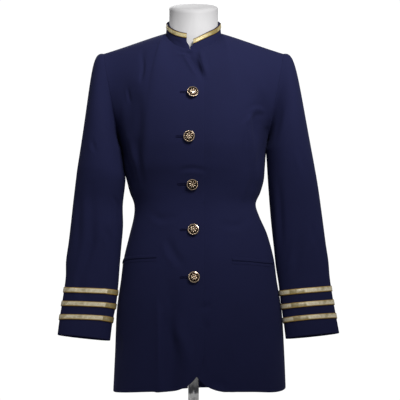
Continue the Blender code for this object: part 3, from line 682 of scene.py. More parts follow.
@dataclass
class BodyShape:
    """The outside of the jacket's body, the same form as its solids."""

    z_hem: float = 110.0
    z_armpit: float = 665.0
    z_shoulder_point: float = 861.0
    z_neck_front: float = 860.0
    z_neck_side: float = 907.0
    z_neck_back: float = 924.0
    neck_half_width: float = 62.0
    neck_front_depth: float = 72.0
    neck_back_depth: float = 64.0
    neck_side_y: float = 2.0
    shoulder_half_width: float = 202.0
    shoulder_y: float = 4.0
    shoulder_flare: float = -2.0
    armhole_bow: float = 61.0
    armhole_grip: float = 6.0
    bow_grip: float = 2.2
    neck_share: float = 0.42
    armpit_row: float = 0.6
    power: float = 2.4
    side_setback: float = 22.0
    # height where the setback of the sides starts and its run, then the same and its share where it eases
    setback_rise: tuple[float, float] = (520.0, 50.0)
    setback_ease: tuple[float, float, float] = (630.0, 35.0, 0.45)
    # how far round the shoulder's arch turns, in degrees, at the neck and at the armhole
    arch_turns: tuple[float, float] = (48.0, 84.0)
    # the furthest place from the centre that is looked for, the step of a slope and where seams are shared
    widest: float = 0.98
    slope_step: float = 0.004
    seam_from: float = 0.9985
    # height, half width, centre, depth in front, depth behind
    sections: tuple = (
        (100, 194, 13.5, 127, 126),
        (194.5, 189.8, 13.8, 125, 127),
        (284.5, 185, 12.8, 121, 127),
        (352, 174.9, 11.9, 117, 122),
        (399, 168.6, 11.8, 112, 113),
        (455.5, 154.2, 11, 103, 97),
        (496, 140.6, 6.8, 98, 86),
        (523, 136.8, 3.2, 98, 84),
        (550, 147.5, 3.6, 102, 86),
        (577, 155, 3.8, 110, 91),
        (604, 159.5, 1.5, 119, 96),
        (644.5, 163, 1, 127, 101),
        (665, 166, 0, 128, 104),
    )
    # place from the right side seam, -1, to the left one, 1, and the hem's height there
    front_hem: tuple = ((-1, 104.5), (-0.85, 103), (-0.6, 105), (-0.3, 109), (0, 109.5),
                        (0.35, 108.5), (0.6, 105.5), (0.8, 107.5), (1, 112.5))
    back_hem: tuple = ((-1, 104.5), (-0.6, 98), (-0.25, 94), (-0.06, 99), (0, 100.5),
                       (0.06, 100.5), (0.25, 94), (0.6, 100), (1, 112.5))
    # x and z where the fold starts, x and z where it ends, half width, depth
    folds: tuple = (
        (-49, 315, -46, 85, 17, 8),
        (-72, 310, -74, 85, 14, -3),
        (-112, 858, -113, 790, 6, 2.5),
        (-144, 775, -142, 640, 17, 7),
        (150, 745, 158, 625, 14, 7),
        (-158, 668, -132, 575, 8, 3.5),
        (-1, 855, 17, 790, 8, 3),
    )

    def section(self, z: Array, s: Array, front: bool) -> Array:
        """Points below the armpit: s runs from -1 at one side seam to 1 at the other."""
        half, centre, ahead, behind = np.moveaxis(read_rows(self.sections, z), -1, 0)
        across, along = oval(90.0 * s, self.power)
        start, run = self.setback_rise
        ease_start, ease_run, eased = self.setback_ease
        setback = (self.side_setback * smooth((z - start) / run)
                   * mix(1.0, eased, smooth((z - ease_start) / ease_run)) * s ** 4)
        y = setback - ahead * along if front else setback + behind * along
        return stack(centre + half * across, y, z)

    def neck(self, angle: Array) -> Array:
        """The neck seam: 0 degrees at the centre front, 90 at the side, 180 at the centre back."""
        a = np.radians(angle)
        c = np.cos(a)
        ahead = np.abs((np.asarray(angle) + 180.0) % 360.0 - 180.0) <= 90.0
        level = np.abs(c)
        y = mix(self.neck_side_y, np.where(ahead, -self.neck_front_depth, self.neck_back_depth), level)
        z = mix(self.z_neck_side, np.where(ahead, self.z_neck_front, self.z_neck_back), level ** 1.2)
        return stack(self.neck_half_width * np.sin(a), y, z)

    def top(self, s: Array, front: bool) -> Array:
        """The upper boundary: the neck seam, then the shoulder seam out to the shoulder point."""
        u = np.abs(s)
        angle = 90.0 * np.minimum(u / self.neck_share, 1.0)
        collar = self.neck(angle if front else 180.0 - angle)
        t = np.clip((u - self.neck_share) / (1.0 - self.neck_share), 0.0, 1.0)
        seam = stack(mix(self.neck_half_width, self.shoulder_half_width, t),
                     mix(self.neck_side_y, self.shoulder_y, t),
                     mix(self.z_neck_side, self.z_shoulder_point, t)
                     - self.shoulder_flare * t * (1.0 - t) ** 3 * 4.0)
        points = np.where((u <= self.neck_share)[..., None], collar, seam)
        points[..., 0] *= np.where(s < 0.0, -1.0, 1.0)
        return points

    def upper(self, s: Array, v: Array, front: bool) -> Array:
        """Points above the armpit: v runs from the armpit, 0, to the upper boundary, 1."""
        s, v = spread(s, v)
        u = np.abs(s)
        base = self.section(np.full(s.shape, self.z_armpit), s, front)
        top = self.top(s, front)
        end = np.radians(mix(*self.arch_turns, smooth(u / self.neck_share)))
        rise = np.sin(v * end) / np.sin(end)
        lean = (1.0 - np.cos(v * end)) / (1.0 - np.cos(end))
        share = np.stack((mix(lean, rise, u), lean, rise), axis=-1)
        arch = base + (top - base) * share
        ring = base + (top - base) * (0.5 - 0.5 * np.cos(np.pi * v))[..., None]
        points = arch + (ring - arch) * (u ** self.armhole_grip)[..., None]
        bow = self.armhole_bow * np.sin(np.pi * v) * u ** self.bow_grip
        points[..., 1] += -bow if front else bow
        return points

    def fold_depth(self, x: Array, z: Array) -> Array:
        """How far the front is pressed in by its main folds."""
        total = np.zeros(np.shape(x))
        for x0, z0, x1, z1, half, depth in self.folds:
            along = (z - z0) / (z1 - z0)
            ends = smooth((along + 0.25) * 2.0) * smooth((1.25 - along) * 2.0)
            across = (x - mix(x0, x1, along)) / half
            total = total + depth * ends * np.exp(-across * across)
        return total

    def point(self, s: Array, r: Array, front: bool, folded: bool = True) -> Array:
        """Points of the body: r runs from the hem, 0, to the upper boundary, 1."""
        s, r = spread(s, r)
        hem = read_rows(self.front_hem if front else self.back_hem, s)[..., 0]
        z = mix(hem, self.z_armpit, np.minimum(r / self.armpit_row, 1.0))
        low = self.section(z, s, front)
        high = self.upper(s, np.clip((r - self.armpit_row) / (1.0 - self.armpit_row), 0.0, 1.0), front)
        points = np.where((r < self.armpit_row)[..., None], low, high)
        if front and folded:
            fade = smooth((1.0 - np.abs(s)) * 6.0) * smooth((1.0 - r) * 30.0)
            points[..., 1] += self.fold_depth(points[..., 0], points[..., 2]) * fade
        return points

    def normal(self, s: Array, r: Array, front: bool) -> Array:
        """The outward direction, shared by both panels along a seam."""
        s, r = spread(s, r)
        step = self.slope_step

        def one_side(ahead: bool) -> Array:
            s0, s1 = np.maximum(s - step, -0.9999), np.minimum(s + step, 0.9999)
            r0, r1 = np.maximum(r - step, 0.0), np.minimum(r + step, 1.0)
            across = self.point(s1, r, ahead) - self.point(s0, r, ahead)
            along = self.point(s, r1, ahead) - self.point(s, r0, ahead)
            return unit(np.cross(across, along)) * (1.0 if ahead else -1.0)

        normal = one_side(front)
        on_shoulder = (r > self.seam_from) & (np.abs(s) > self.neck_share - 0.001)
        shared = (np.abs(s) > self.seam_from) | on_shoulder
        return unit(np.where(shared[..., None], normal + one_side(not front), normal))

    def place_at_x(self, x: Array, r: Array, front: bool) -> Array:
        """The s at which each row crosses an x."""
        x, r = spread(x, r)
        return bisect(np.full(x.shape, -self.widest), np.full(x.shape, self.widest),
                      lambda s: self.point(s, r, front, folded=False)[..., 0] < x)

    def row_at_height(self, z: Array) -> Array:
        """The row of the centre front at a height."""
        z = np.asarray(z, float)
        centre = np.zeros(z.shape)
        return bisect(centre, np.ones(z.shape),
                      lambda r: self.point(centre, r, True, folded=False)[..., 2] < z)


def edge_shares(count: int, first: bool = True, last: bool = True) -> Array:
    """Even shares from 0 to 1, with close ones at the ends for a rolled edge."""
    shares = list(np.linspace(0.0, 1.0, count))
    near = (0.0012, 0.0035, 0.007)
    if first:
        shares += near
    if last:
        shares += [1.0 - n for n in near]
    return np.array(sorted(shares))


@dataclass
class JacketBody:
    """The two fronts and the two backs."""

    shape: BodyShape
    palette: Palette
    wall: float = 2.0
    pressed_wall: float = 0.9
    pressed_reach: float = 16.0
    lap_gap: float = 0.25
    lap_blend: float = 20.0
    edge_x: float = 23.4
    edge_top_x: float = 5.8
    edge_top_z: tuple[float, float] = (797.0, 862.5)
    corner_top_z: float = 200.0
    corner_z: float = 109.5
    corner_width: float = 84.0
    corner_power: float = 2.2
    vent_top_z: float = 300.0
    vent_half_gap: float = 11.0
    side_swell: float = 1.0
    swell_z: float = 662.0
    swell_reach: float = 18.0
    # the centre front's x at the rounded corners and above them, and the run between
    centre_front: tuple[float, float, float] = (7.5, -1.0, 150.0)
    # how far the centre front leans at the top, from which height and over which run
    front_lean: tuple[float, float, float] = (3.0, 760.0, 100.0)
    # the centre back's x, then how far it leans, at which height and over which run, below and above
    centre_back: float = 4.0
    back_lean_low: tuple[float, float, float] = (7.0, 300.0, 200.0)
    back_lean_high: tuple[float, float, float] = (4.0, 420.0, 300.0)
    lower_rows: int = 130
    upper_rows: int = 84
    shoulder_columns: int = 48
    front_columns: int = 76
    back_columns: int = 60
    front_cut: tuple[float, float] = (0.29, 0.80)
    back_cut: tuple[float, float] = (0.29, 0.86)
    front_creases: tuple[Crease, ...] = ()
    back_creases: tuple[Crease, ...] = ()

    def closure_edge_x(self, z: Array) -> Array:
        """The right front's free edge, with its rounded lower corner."""
        low, high = self.edge_top_z
        above = mix(self.edge_x, self.edge_top_x, np.clip((z - low) / (high - low), 0.0, 1.0))
        drop = np.clip((self.corner_top_z - z) / (self.corner_top_z - self.corner_z), 0.0, 1.0)
        power = self.corner_power
        below = self.edge_x - self.corner_width * (1.0 - (1.0 - drop ** power) ** (1.0 / power))
        return np.where(z >= self.corner_top_z, above, below)

    def centre_front_x(self, z: Array) -> Array:
        """The line that the two free edges mirror each other about."""
        low_x, high_x, run = self.centre_front
        lean, lean_z, lean_run = self.front_lean
        return (mix(low_x, high_x, smooth((z - self.corner_top_z) / run))
                - lean * smooth((z - lean_z) / lean_run))

    def under_edge_x(self, z: Array) -> Array:
        """The left front's free edge, below the right one."""
        return 2.0 * self.centre_front_x(z) - self.closure_edge_x(z)

    def vent_edge_x(self, z: Array, side: Side) -> Array:
        """The centre-back edge, which parts below the top of the vent."""
        low, low_z, low_run = self.back_lean_low
        high, high_z, high_run = self.back_lean_high
        centre = (self.centre_back - low * smooth((low_z - z) / low_run)
                  - high * smooth((z - high_z) / high_run))
        open_share = np.maximum(0.0, (self.vent_top_z - z) / (self.vent_top_z - self.shape.z_hem))
        return centre + side.value * self.vent_half_gap * open_share ** 0.8

    def rows(self) -> Array:
        """The rows of every panel, close at the hem, where the fronts' corners turn."""
        lower = np.linspace(0.115, self.shape.armpit_row, self.lower_rows, endpoint=False)
        upper = mix(self.shape.armpit_row, 1.0, np.linspace(0.0, 1.0, self.upper_rows))
        return np.unique(np.concatenate((CORNER_ROWS, lower, upper, (0.996, 0.9985))))

    def front_places(self, side: Side, rows: Array) -> Array:
        """The grid of s of a front, from its side seam to its free edge."""
        edge = self.closure_edge_x if side is Side.RIGHT else self.under_edge_x
        z = self.shape.point(np.zeros(rows.shape), rows, True, folded=False)[..., 2]
        end = self.shape.place_at_x(edge(z), rows, True)
        share = self.shape.neck_share
        start = mix(max(share, 0.5), share, smooth((rows - 0.05) / 0.3))
        shoulder = mix(1.0, start[:, None], edge_shares(self.shoulder_columns, last=False))[:, :-1]
        inner = mix(side.value * start[:, None], end[:, None], edge_shares(self.front_columns, first=False))
        return np.concatenate((shoulder * side.value, inner), axis=1)

    def back_places(self, side: Side, rows: Array) -> Array:
        """The grid of s of a back, from its side seam to the centre back."""
        z = mix(self.shape.z_hem, self.shape.z_armpit, np.minimum(rows / self.shape.armpit_row, 1.0))
        end = self.shape.place_at_x(self.vent_edge_x(z, side), rows, False)
        share = self.shape.neck_share
        shoulder = mix(1.0, share, edge_shares(self.shoulder_columns, last=False))[None, :-1] * side.value
        inner = mix(side.value * share, end[:, None], edge_shares(self.back_columns, first=False))
        return np.concatenate((np.broadcast_to(shoulder, (len(rows), shoulder.shape[1])), inner), axis=1)

    def panel(self, name: str, face: Face, side: Side) -> Item:
        """Builds one panel on its solid's surface, with its creases."""
        rows = self.rows()
        front = face is Face.FRONT
        places = self.front_places(side, rows) if front else self.back_places(side, rows)
        grid_rows = np.broadcast_to(rows[:, None], places.shape)
        points = self.shape.point(places, grid_rows, front)
        normals = self.shape.normal(places, grid_rows, front)
        sink = press_in(self.front_creases if front else self.back_creases, points, normals)
        sink = sink + rumple(points, normals, 0.3, 0.0 if front else 90.0)
        fade = smooth((1.0 - np.abs(places)) * 14.0) * smooth((1.0 - grid_rows) * 40.0)
        # The sides swell a little where the arms press the sleeves against them.
        swell = self.side_swell * np.exp(-((points[..., 2] - self.swell_z) / self.swell_reach) ** 2)
        sink = sink * fade - swell * smooth((np.abs(places) - 0.8) * 5.0)
        edge_x = self.closure_edge_x(points[..., 2])
        near_edge = smooth(1.0 - (edge_x - points[..., 0]) / self.pressed_reach)
        pressed = mix(self.wall, self.pressed_wall, near_edge)
        thickness = np.full(places.shape, self.wall)
        if front and side is Side.LEFT:
            clear = 1.0 - smooth((points[..., 0] - edge_x) / self.lap_blend)
            sink = sink + (pressed + self.lap_gap) * clear
        elif front:
            thickness = pressed
        points = points - normals * sink[..., None]
        seams = (Edge.START, Edge.HIGH) if front else (Edge.START, Edge.END, Edge.HIGH)
        wall = Wall(name, points, settle(points, normals, fade), thickness, seams=seams,
                    uv_shift=side.value * 100.0)
        item = wall.build(self.palette.wool)
        LOG.info("%s: flat area %.4f m2", name, wall.area())
        dress(item, Slot.WOOL, f"{face.value}_{side.word}")
        return item

    def build(self) -> dict[Side, Item]:
        """Builds the four panels.

        Returns:
            The fronts by side, which carry the pockets and the buttons.
        """
        fronts = {side: self.panel(f"{side.word}_front_panel", Face.FRONT, side)
                  for side in Side}
        for side in Side:
            self.panel(f"{side.word}_back_panel", Face.BACK, side)
        return fronts


# Sleeves


@dataclass
class Sleeve:
    """One two-piece sleeve with three rows of lace above its cuff.

    An angle runs round it, 0 at the outside and 90 at the front, and a place along it, 0 at the
    armhole, 1 at the armpit's level and 2 at the cuff.
    """

    side: Side
    shape: BodyShape
    palette: Palette
    # height, outer edge, inner edge, middle's y, half depth
    rows: tuple
    front_creases: tuple[Crease, ...] = ()
    back_creases: tuple[Crease, ...] = ()
    wall: float = 2.0
    power: float = 2.2
    tilt: float = 12.5
    tilt_run: float = 200.0
    cuff_back_drop: float = 3.5
    # the height below which the cuff drops at its back, and the run
    drop_from: tuple[float, float] = (330.0, 100.0)
    # how far the cap leaves the armhole: out, out at its top, and up there
    cap_leave: tuple[float, float, float] = (3.0, 25.0, 6.0)
    # how far along its fall the cap arrives at the arm, under the arm and what is added at its top
    cap_arrive: tuple[float, float] = (0.35, 0.47)
    # creases are shallower below this height, by this share, where the lace stiffens the cloth
    stiff_z: float = 355.0
    stiff_share: float = 0.35
    cap_rows: int = 64
    arm_rows: int = 130
    armhole_gap: float = 0.05
    front_seam: float = 127.0
    back_seam: float = -100.0
    lace_width: float = 12.7
    lace_centres: tuple[float, float, float] = (329.6, 299.2, 268.8)
    lace_lift: float = 0.55
    lace_wall: float = 1.0
    lace_crown: float = 0.35
    lace_roll: float = 0.5
    # how far out of the sleeve's middle, from -1 at its inside to 1, and the lace's shift there
    lace_shifts: dict = field(default_factory=lambda: {
        Side.RIGHT: ((-1.0, 0.0), (-0.5, 0.9), (0.0, -1.2), (1.0, -5.9)),
        Side.LEFT: ((-1.0, -1.0), (-0.5, -0.6), (0.0, -1.0), (1.0, -2.9))})

    def __post_init__(self) -> None:
        """Finds the highest and lowest rows."""
        self.z_top = max(row[0] for row in self.rows)
        self.z_cuff = min(row[0] for row in self.rows)

    def section(self, z: Array, angle: Array) -> Array:
        """Points round the sleeve below the armpit."""
        outer, inner, middle_y, half_depth = np.moveaxis(read_rows(self.rows, z), -1, 0)
        ahead, out = oval(angle, self.power)
        half = 0.5 * (outer - inner)
        drop_z, drop_run = self.drop_from
        tilt = self.tilt * smooth((self.z_top - z) / self.tilt_run)
        drop = self.cuff_back_drop * smooth((drop_z - z) / drop_run)
        return stack(self.side.value * (0.5 * (outer + inner) + half * out), middle_y - half_depth * ahead,
                     z + 0.5 * tilt * out + drop * ahead)

    def armhole(self, angle: Array) -> Array:
        """Points of the armhole seam, a seam's gap out from the body."""
        turn = (angle + 180.0) % 360.0 - 180.0
        v = 1.0 - np.abs(turn) / 180.0
        s = np.full(v.shape, float(self.side.value))
        ahead, behind = self.shape.upper(s, v, True), self.shape.upper(s, v, False)
        points = np.where((turn >= 0.0)[..., None], ahead, behind)
        points[..., 0] += self.side.value * self.armhole_gap
        return points

    def point(self, angle: Array, place: Array) -> Array:
        """Points of the sleeve's outside."""
        angle, place = spread(angle, place)
        lower = self.section(mix(self.z_top, self.z_cuff, np.clip(place - 1.0, 0.0, 1.0)), angle)
        top = np.full(angle.shape, self.z_top)
        start, end = self.armhole(angle), self.section(top, angle)
        high = 0.5 + 0.5 * np.cos(np.radians(angle))
        fall = start[..., 2] - end[..., 2]
        down = self.section(top - 10.0, angle) - end
        down = down / np.maximum(np.abs(down[..., 2:]), 1e-6)
        out, out_top, up_top = self.cap_leave
        under, added = self.cap_arrive
        leave = start + stack(self.side.value * (out + out_top * high), 0.0 * high, up_top * high ** 4)
        arrive = end - down * (fall * (under + added * high))[..., None]
        t = np.clip(place, 0.0, 1.0)[..., None]
        q = 1.0 - t
        cap = q ** 3 * start + 3 * q * q * t * leave + 3 * q * t * t * arrive + t ** 3 * end
        return np.where((place > 1.0)[..., None], lower, cap)

    def normal(self, angle: Array, place: Array) -> Array:
        """The outward direction."""
        angle, place = spread(angle, place)
        round_it = self.point(angle + 1.0, place) - self.point(angle - 1.0, place)
        down = (self.point(angle, np.minimum(place + 0.01, 2.0))
                - self.point(angle, np.maximum(place - 0.01, 0.0)))
        return unit(np.cross(round_it, down)) * self.side.value

    def place_at(self, z: Array | float) -> Array | float:
        """The place along the sleeve at a height."""
        return 1.0 + (self.z_top - z) / (self.z_top - self.z_cuff)

    def creased(self, angle: Array, place: Array) -> tuple[Array, Array]:
        """Points and normals with the creases pressed in.

        Args:
            angle: angles round the sleeve.
            place: places along it.

        Returns:
            The points and the outward directions.
        """
        points, normals = self.point(angle, place), self.normal(angle, place)
        ahead = np.sin(np.radians(angle))
        in_front = smooth(0.5 + ahead * 3.0)
        sink = (press_in(self.front_creases, points, normals) * in_front
                + press_in(self.back_creases, points, normals) * (1.0 - in_front))
        sink = (sink + rumple(points, normals, 0.35, 40.0 * self.side.value)) * smooth(place * 7.0)
        sink = sink * mix(self.stiff_share, 1.0, smooth((self.place_at(self.stiff_z) - place) * 6.0))
        return points - normals * sink[..., None], normals

    def strip(self, name: str, angles: Array, places: Array, lift: float, wall: float,
              crown: float = 0.0) -> Wall:
        """A wall that follows the creased sleeve between two seams."""
        angle, place = np.broadcast_arrays(angles[None, :], places)
        points, normals = self.creased(angle, place)
        points = points + normals * crowned(place, lift, crown)[..., None]
        inside = smooth(np.minimum(angle - angles[0], angles[-1] - angle) / 6.0) * smooth(place * 8.0)
        seams = (Edge.START, Edge.END, Edge.LOW) if lift == 0.0 else (Edge.START, Edge.END)
        return Wall(name, points, settle(points, normals, inside), wall, seams=seams,
                    uv_shift=self.side.value * 400.0)

    def build(self) -> None:
        """Builds the top and under sleeves and their rows of lace."""
        cap = edge_shares(self.cap_rows, last=False)[:-1]
        arm = mix(1.0, 2.0, edge_shares(self.arm_rows, first=False))
        places = np.concatenate((cap, arm))[:, None]
        # each cut's first and last angle, its columns and its flat size
        cuts = {"top": (self.back_seam, self.front_seam, 92, (0.24, 0.66)),
                "under": (self.front_seam, 360.0 + self.back_seam, 58, (0.16, 0.56))}
        for part, (start, end, count, flat) in cuts.items():
            angles = mix(start, end, edge_shares(count))
            node = f"{part}_sleeve_{self.side.word}"
            wall = self.strip(f"{self.side.word}_{part}_sleeve_cloth", angles, places, 0.0, self.wall)
            item = dress(wall.build(self.palette.wool), Slot.WOOL, node)
            LOG.info("%s: flat area %.4f m2", node, wall.area())
            rows = [self.lace_row(part, angles, number, z)
                    for number, z in enumerate(self.lace_centres, 1)]
            round(wall.area(), 4)

    def lace_row(self, part: str, angles: Array, number: int, z: float) -> Item:
        """Builds one length of lace between the sleeve's seams."""
        half = 0.5 * self.lace_width
        bend = np.interp(np.cos(np.radians(angles)), *zip(*self.lace_shifts[self.side]))
        places = mix(self.place_at(z + half + bend), self.place_at(z - half + bend), LACE_SHARES[:, None])
        name = f"{self.side.word}_{part}_cuff_lace_{number}"
        wall = self.strip(name, angles, places, self.lace_lift + self.lace_wall, self.lace_wall,
                          self.lace_crown)
        wall.roll = self.lace_roll
        return dress(wall.build(self.palette.lace), Slot.LACE,
                     f"cuff_braid_{self.side.word}_{part}_{number}")


# Collar


@dataclass
class Collar:
    """The stand collar, with lace below its top edge."""

    shape: BodyShape
    palette: Palette
    wall: float = 2.0
    top_half_width: float = 59.4
    top_front: float = 64.0
    top_back: float = 60.0
    height_front: float = 36.0
    height_side: float = 25.5
    height_back: float = 30.0
    height_power: float = 1.6
    droop: float = 12.0
    droop_reach: float = 38.0
    end_x: tuple[float, float] = (-10.0, -0.8)
    notch_x: float = -7.5
    notch_half: tuple[float, float] = (0.35, 7.2)
    notch_shares: tuple[float, float] = (0.1, 0.5)
    lace_drop: tuple[float, float] = (1.5, 12.1)
    lace_lift: float = 0.55
    lace_wall: float = 1.0
    lace_crown: float = 0.3
    lace_roll: float = 0.5
    # how far below the neck seam the cloth starts, as a share of its height
    tuck: float = -0.12
    creases: tuple[Crease, ...] = ()

    def height(self, angle: Array) -> Array:
        """The collar's height, which droops at its left end."""
        a = np.radians(angle)
        c = np.cos(a)
        ahead = c > 0.0
        middle = np.where(ahead, self.height_front, self.height_back)
        height = mix(self.height_side, middle, np.abs(c) ** self.height_power)
        x = self.top_half_width * np.sin(a)
        near = np.maximum(0.0, 1.0 - np.maximum(x, 0.0) / self.droop_reach)
        droop = self.droop * near ** 1.5 * smooth((x - self.end_x[0]) / 8.0)
        return height - np.where(ahead & (x > self.end_x[0]), droop, 0.0)

    def point(self, angle: Array, share: Array) -> Array:
        """Points of the outside: angle as on the neck seam, share 0 at the seam and 1 at the top."""
        angle, share = spread(angle, share)
        base = self.shape.neck(angle)
        a = np.radians(angle)
        c = np.cos(a)
        x = self.top_half_width * np.sin(a)
        y = mix(self.shape.neck_side_y, np.where(c > 0.0, -self.top_front, self.top_back), np.abs(c))
        top = stack(x, y, base[..., 2] + self.height(angle))
        return base + (top - base) * share[..., None]

    def ends(self, share: Array) -> tuple[Array, Array]:
        """The angles of the collar's left and right ends, which part in a notch above the seam."""
        low, high = self.notch_shares
        half = mix(*self.notch_half, smooth((share - low) / (high - low)))
        left, right = (np.degrees(np.arcsin((self.notch_x + sign * half) / self.top_half_width))
                       for sign in (1.0, -1.0))
        return left, 360.0 + right

    def angles(self, share: Array) -> Array:
        """Angles from end to end at a column of shares."""
        left, right = self.ends(share)
        return mix(left, right, edge_shares(240)[None, :])

    def strip(self, name: str, angle: Array, share: Array, lift: float, wall: float,
              crown: float = 0.0) -> Wall:
        """A wall that follows the collar on a grid of angles and shares."""
        points = self.point(angle, share)
        across = self.point(angle + 1.0, share) - self.point(angle - 1.0, share)
        along = self.point(angle, np.ones_like(share)) - self.point(angle, np.zeros_like(share))
        normals = unit(np.cross(across, along))
        rise = crowned(share, lift, crown)
        rise = rise - press_in(self.creases, points, normals) - rumple(points, normals, 0.2, 10.0)
        return Wall(name, points + normals * rise[..., None], normals, wall)

    def build(self) -> None:
        """Builds the collar and its lace."""
        shares = mix(self.tuck, 1.0, edge_shares(22))[:, None]
        angle = self.angles(shares)
        cloth = self.strip("stand_collar_cloth", angle, shares + 0.0 * angle, 0.0, self.wall)
        drops = mix(self.lace_drop[1], self.lace_drop[0], LACE_SHARES)[:, None]
        angle = self.angles(1.0 - drops / self.height_side)
        lace = self.strip("stand_collar_lace", angle, 1.0 - drops / self.height(angle),
                          self.lace_lift + self.lace_wall, self.lace_wall, self.lace_crown)
        lace.roll = self.lace_roll
        trim = dress(lace.build(self.palette.collar_lace), Slot.LACE, "collar_braid")
        item = dress(cloth.build(self.palette.wool), Slot.WOOL, "collar")
        LOG.info("collar: flat area %.4f m2", cloth.area())
        round(cloth.area(), 4)


# Pockets, buttonholes and buttons


@dataclass
class HipPockets:
    """The two jets of each hip pocket, which lie closed on the fronts."""

    shape: BodyShape
    palette: Palette
    # x at the near end, x at the far end, height at the near end, height at the far end, power of its bend
    mouths: dict = field(default_factory=lambda: {Side.RIGHT: (-80.0, -158.0, 399.9, 390.0, 4.0),
                                                  Side.LEFT: (84.2, 176.0, 393.3, 388.0, 1.3)})
    # height and thickness of each jet
    jets: dict = field(default_factory=lambda: {"upper": (7.0, 1.5), "lower": (5.5, 0.6)})
    roll: float = 0.6
    mouth_gap: float = 1.5
    lift: float = 0.12

    def jet(self, skin: BVHTree, side: Side, part: str) -> Item:
        """Builds one jet on its front."""
        near_x, far_x, near_z, far_z, bend = self.mouths[side]
        height, thickness = self.jets[part]
        z_shift = 0.5 * (height + self.mouth_gap) * (1.0 if part == "upper" else -1.0)
        across = edge_shares(40)
        rows, normals = [], []
        for edge in edge_shares(7) - 0.5:
            r = self.shape.row_at_height(mix(near_z, far_z, across ** bend) + z_shift + edge * height)
            s = mix(self.shape.place_at_x(near_x, r, True), self.shape.place_at_x(far_x, r, True), across)
            normal = self.shape.normal(s, r, True)
            seat = np.array([seat_on(skin, p, n) for p, n in zip(self.shape.point(s, r, True), normal)])
            rows.append(seat + normal * (self.lift + thickness))
            normals.append(normal)
        wall = Wall(f"{side.word}_pocket_{part}_jet", np.array(rows), np.array(normals), thickness,
                    roll=self.roll)
        return dress(wall.build(self.palette.wool), Slot.WOOL, f"pocket_jet_{side.word}_{part}")

    def build(self, fronts: dict[Side, Item]) -> None:
        """Builds all four jets."""
        for side in Side:
            skin = skin_of(fronts[side])
            for part in self.jets:
                self.jet(skin, side, part)


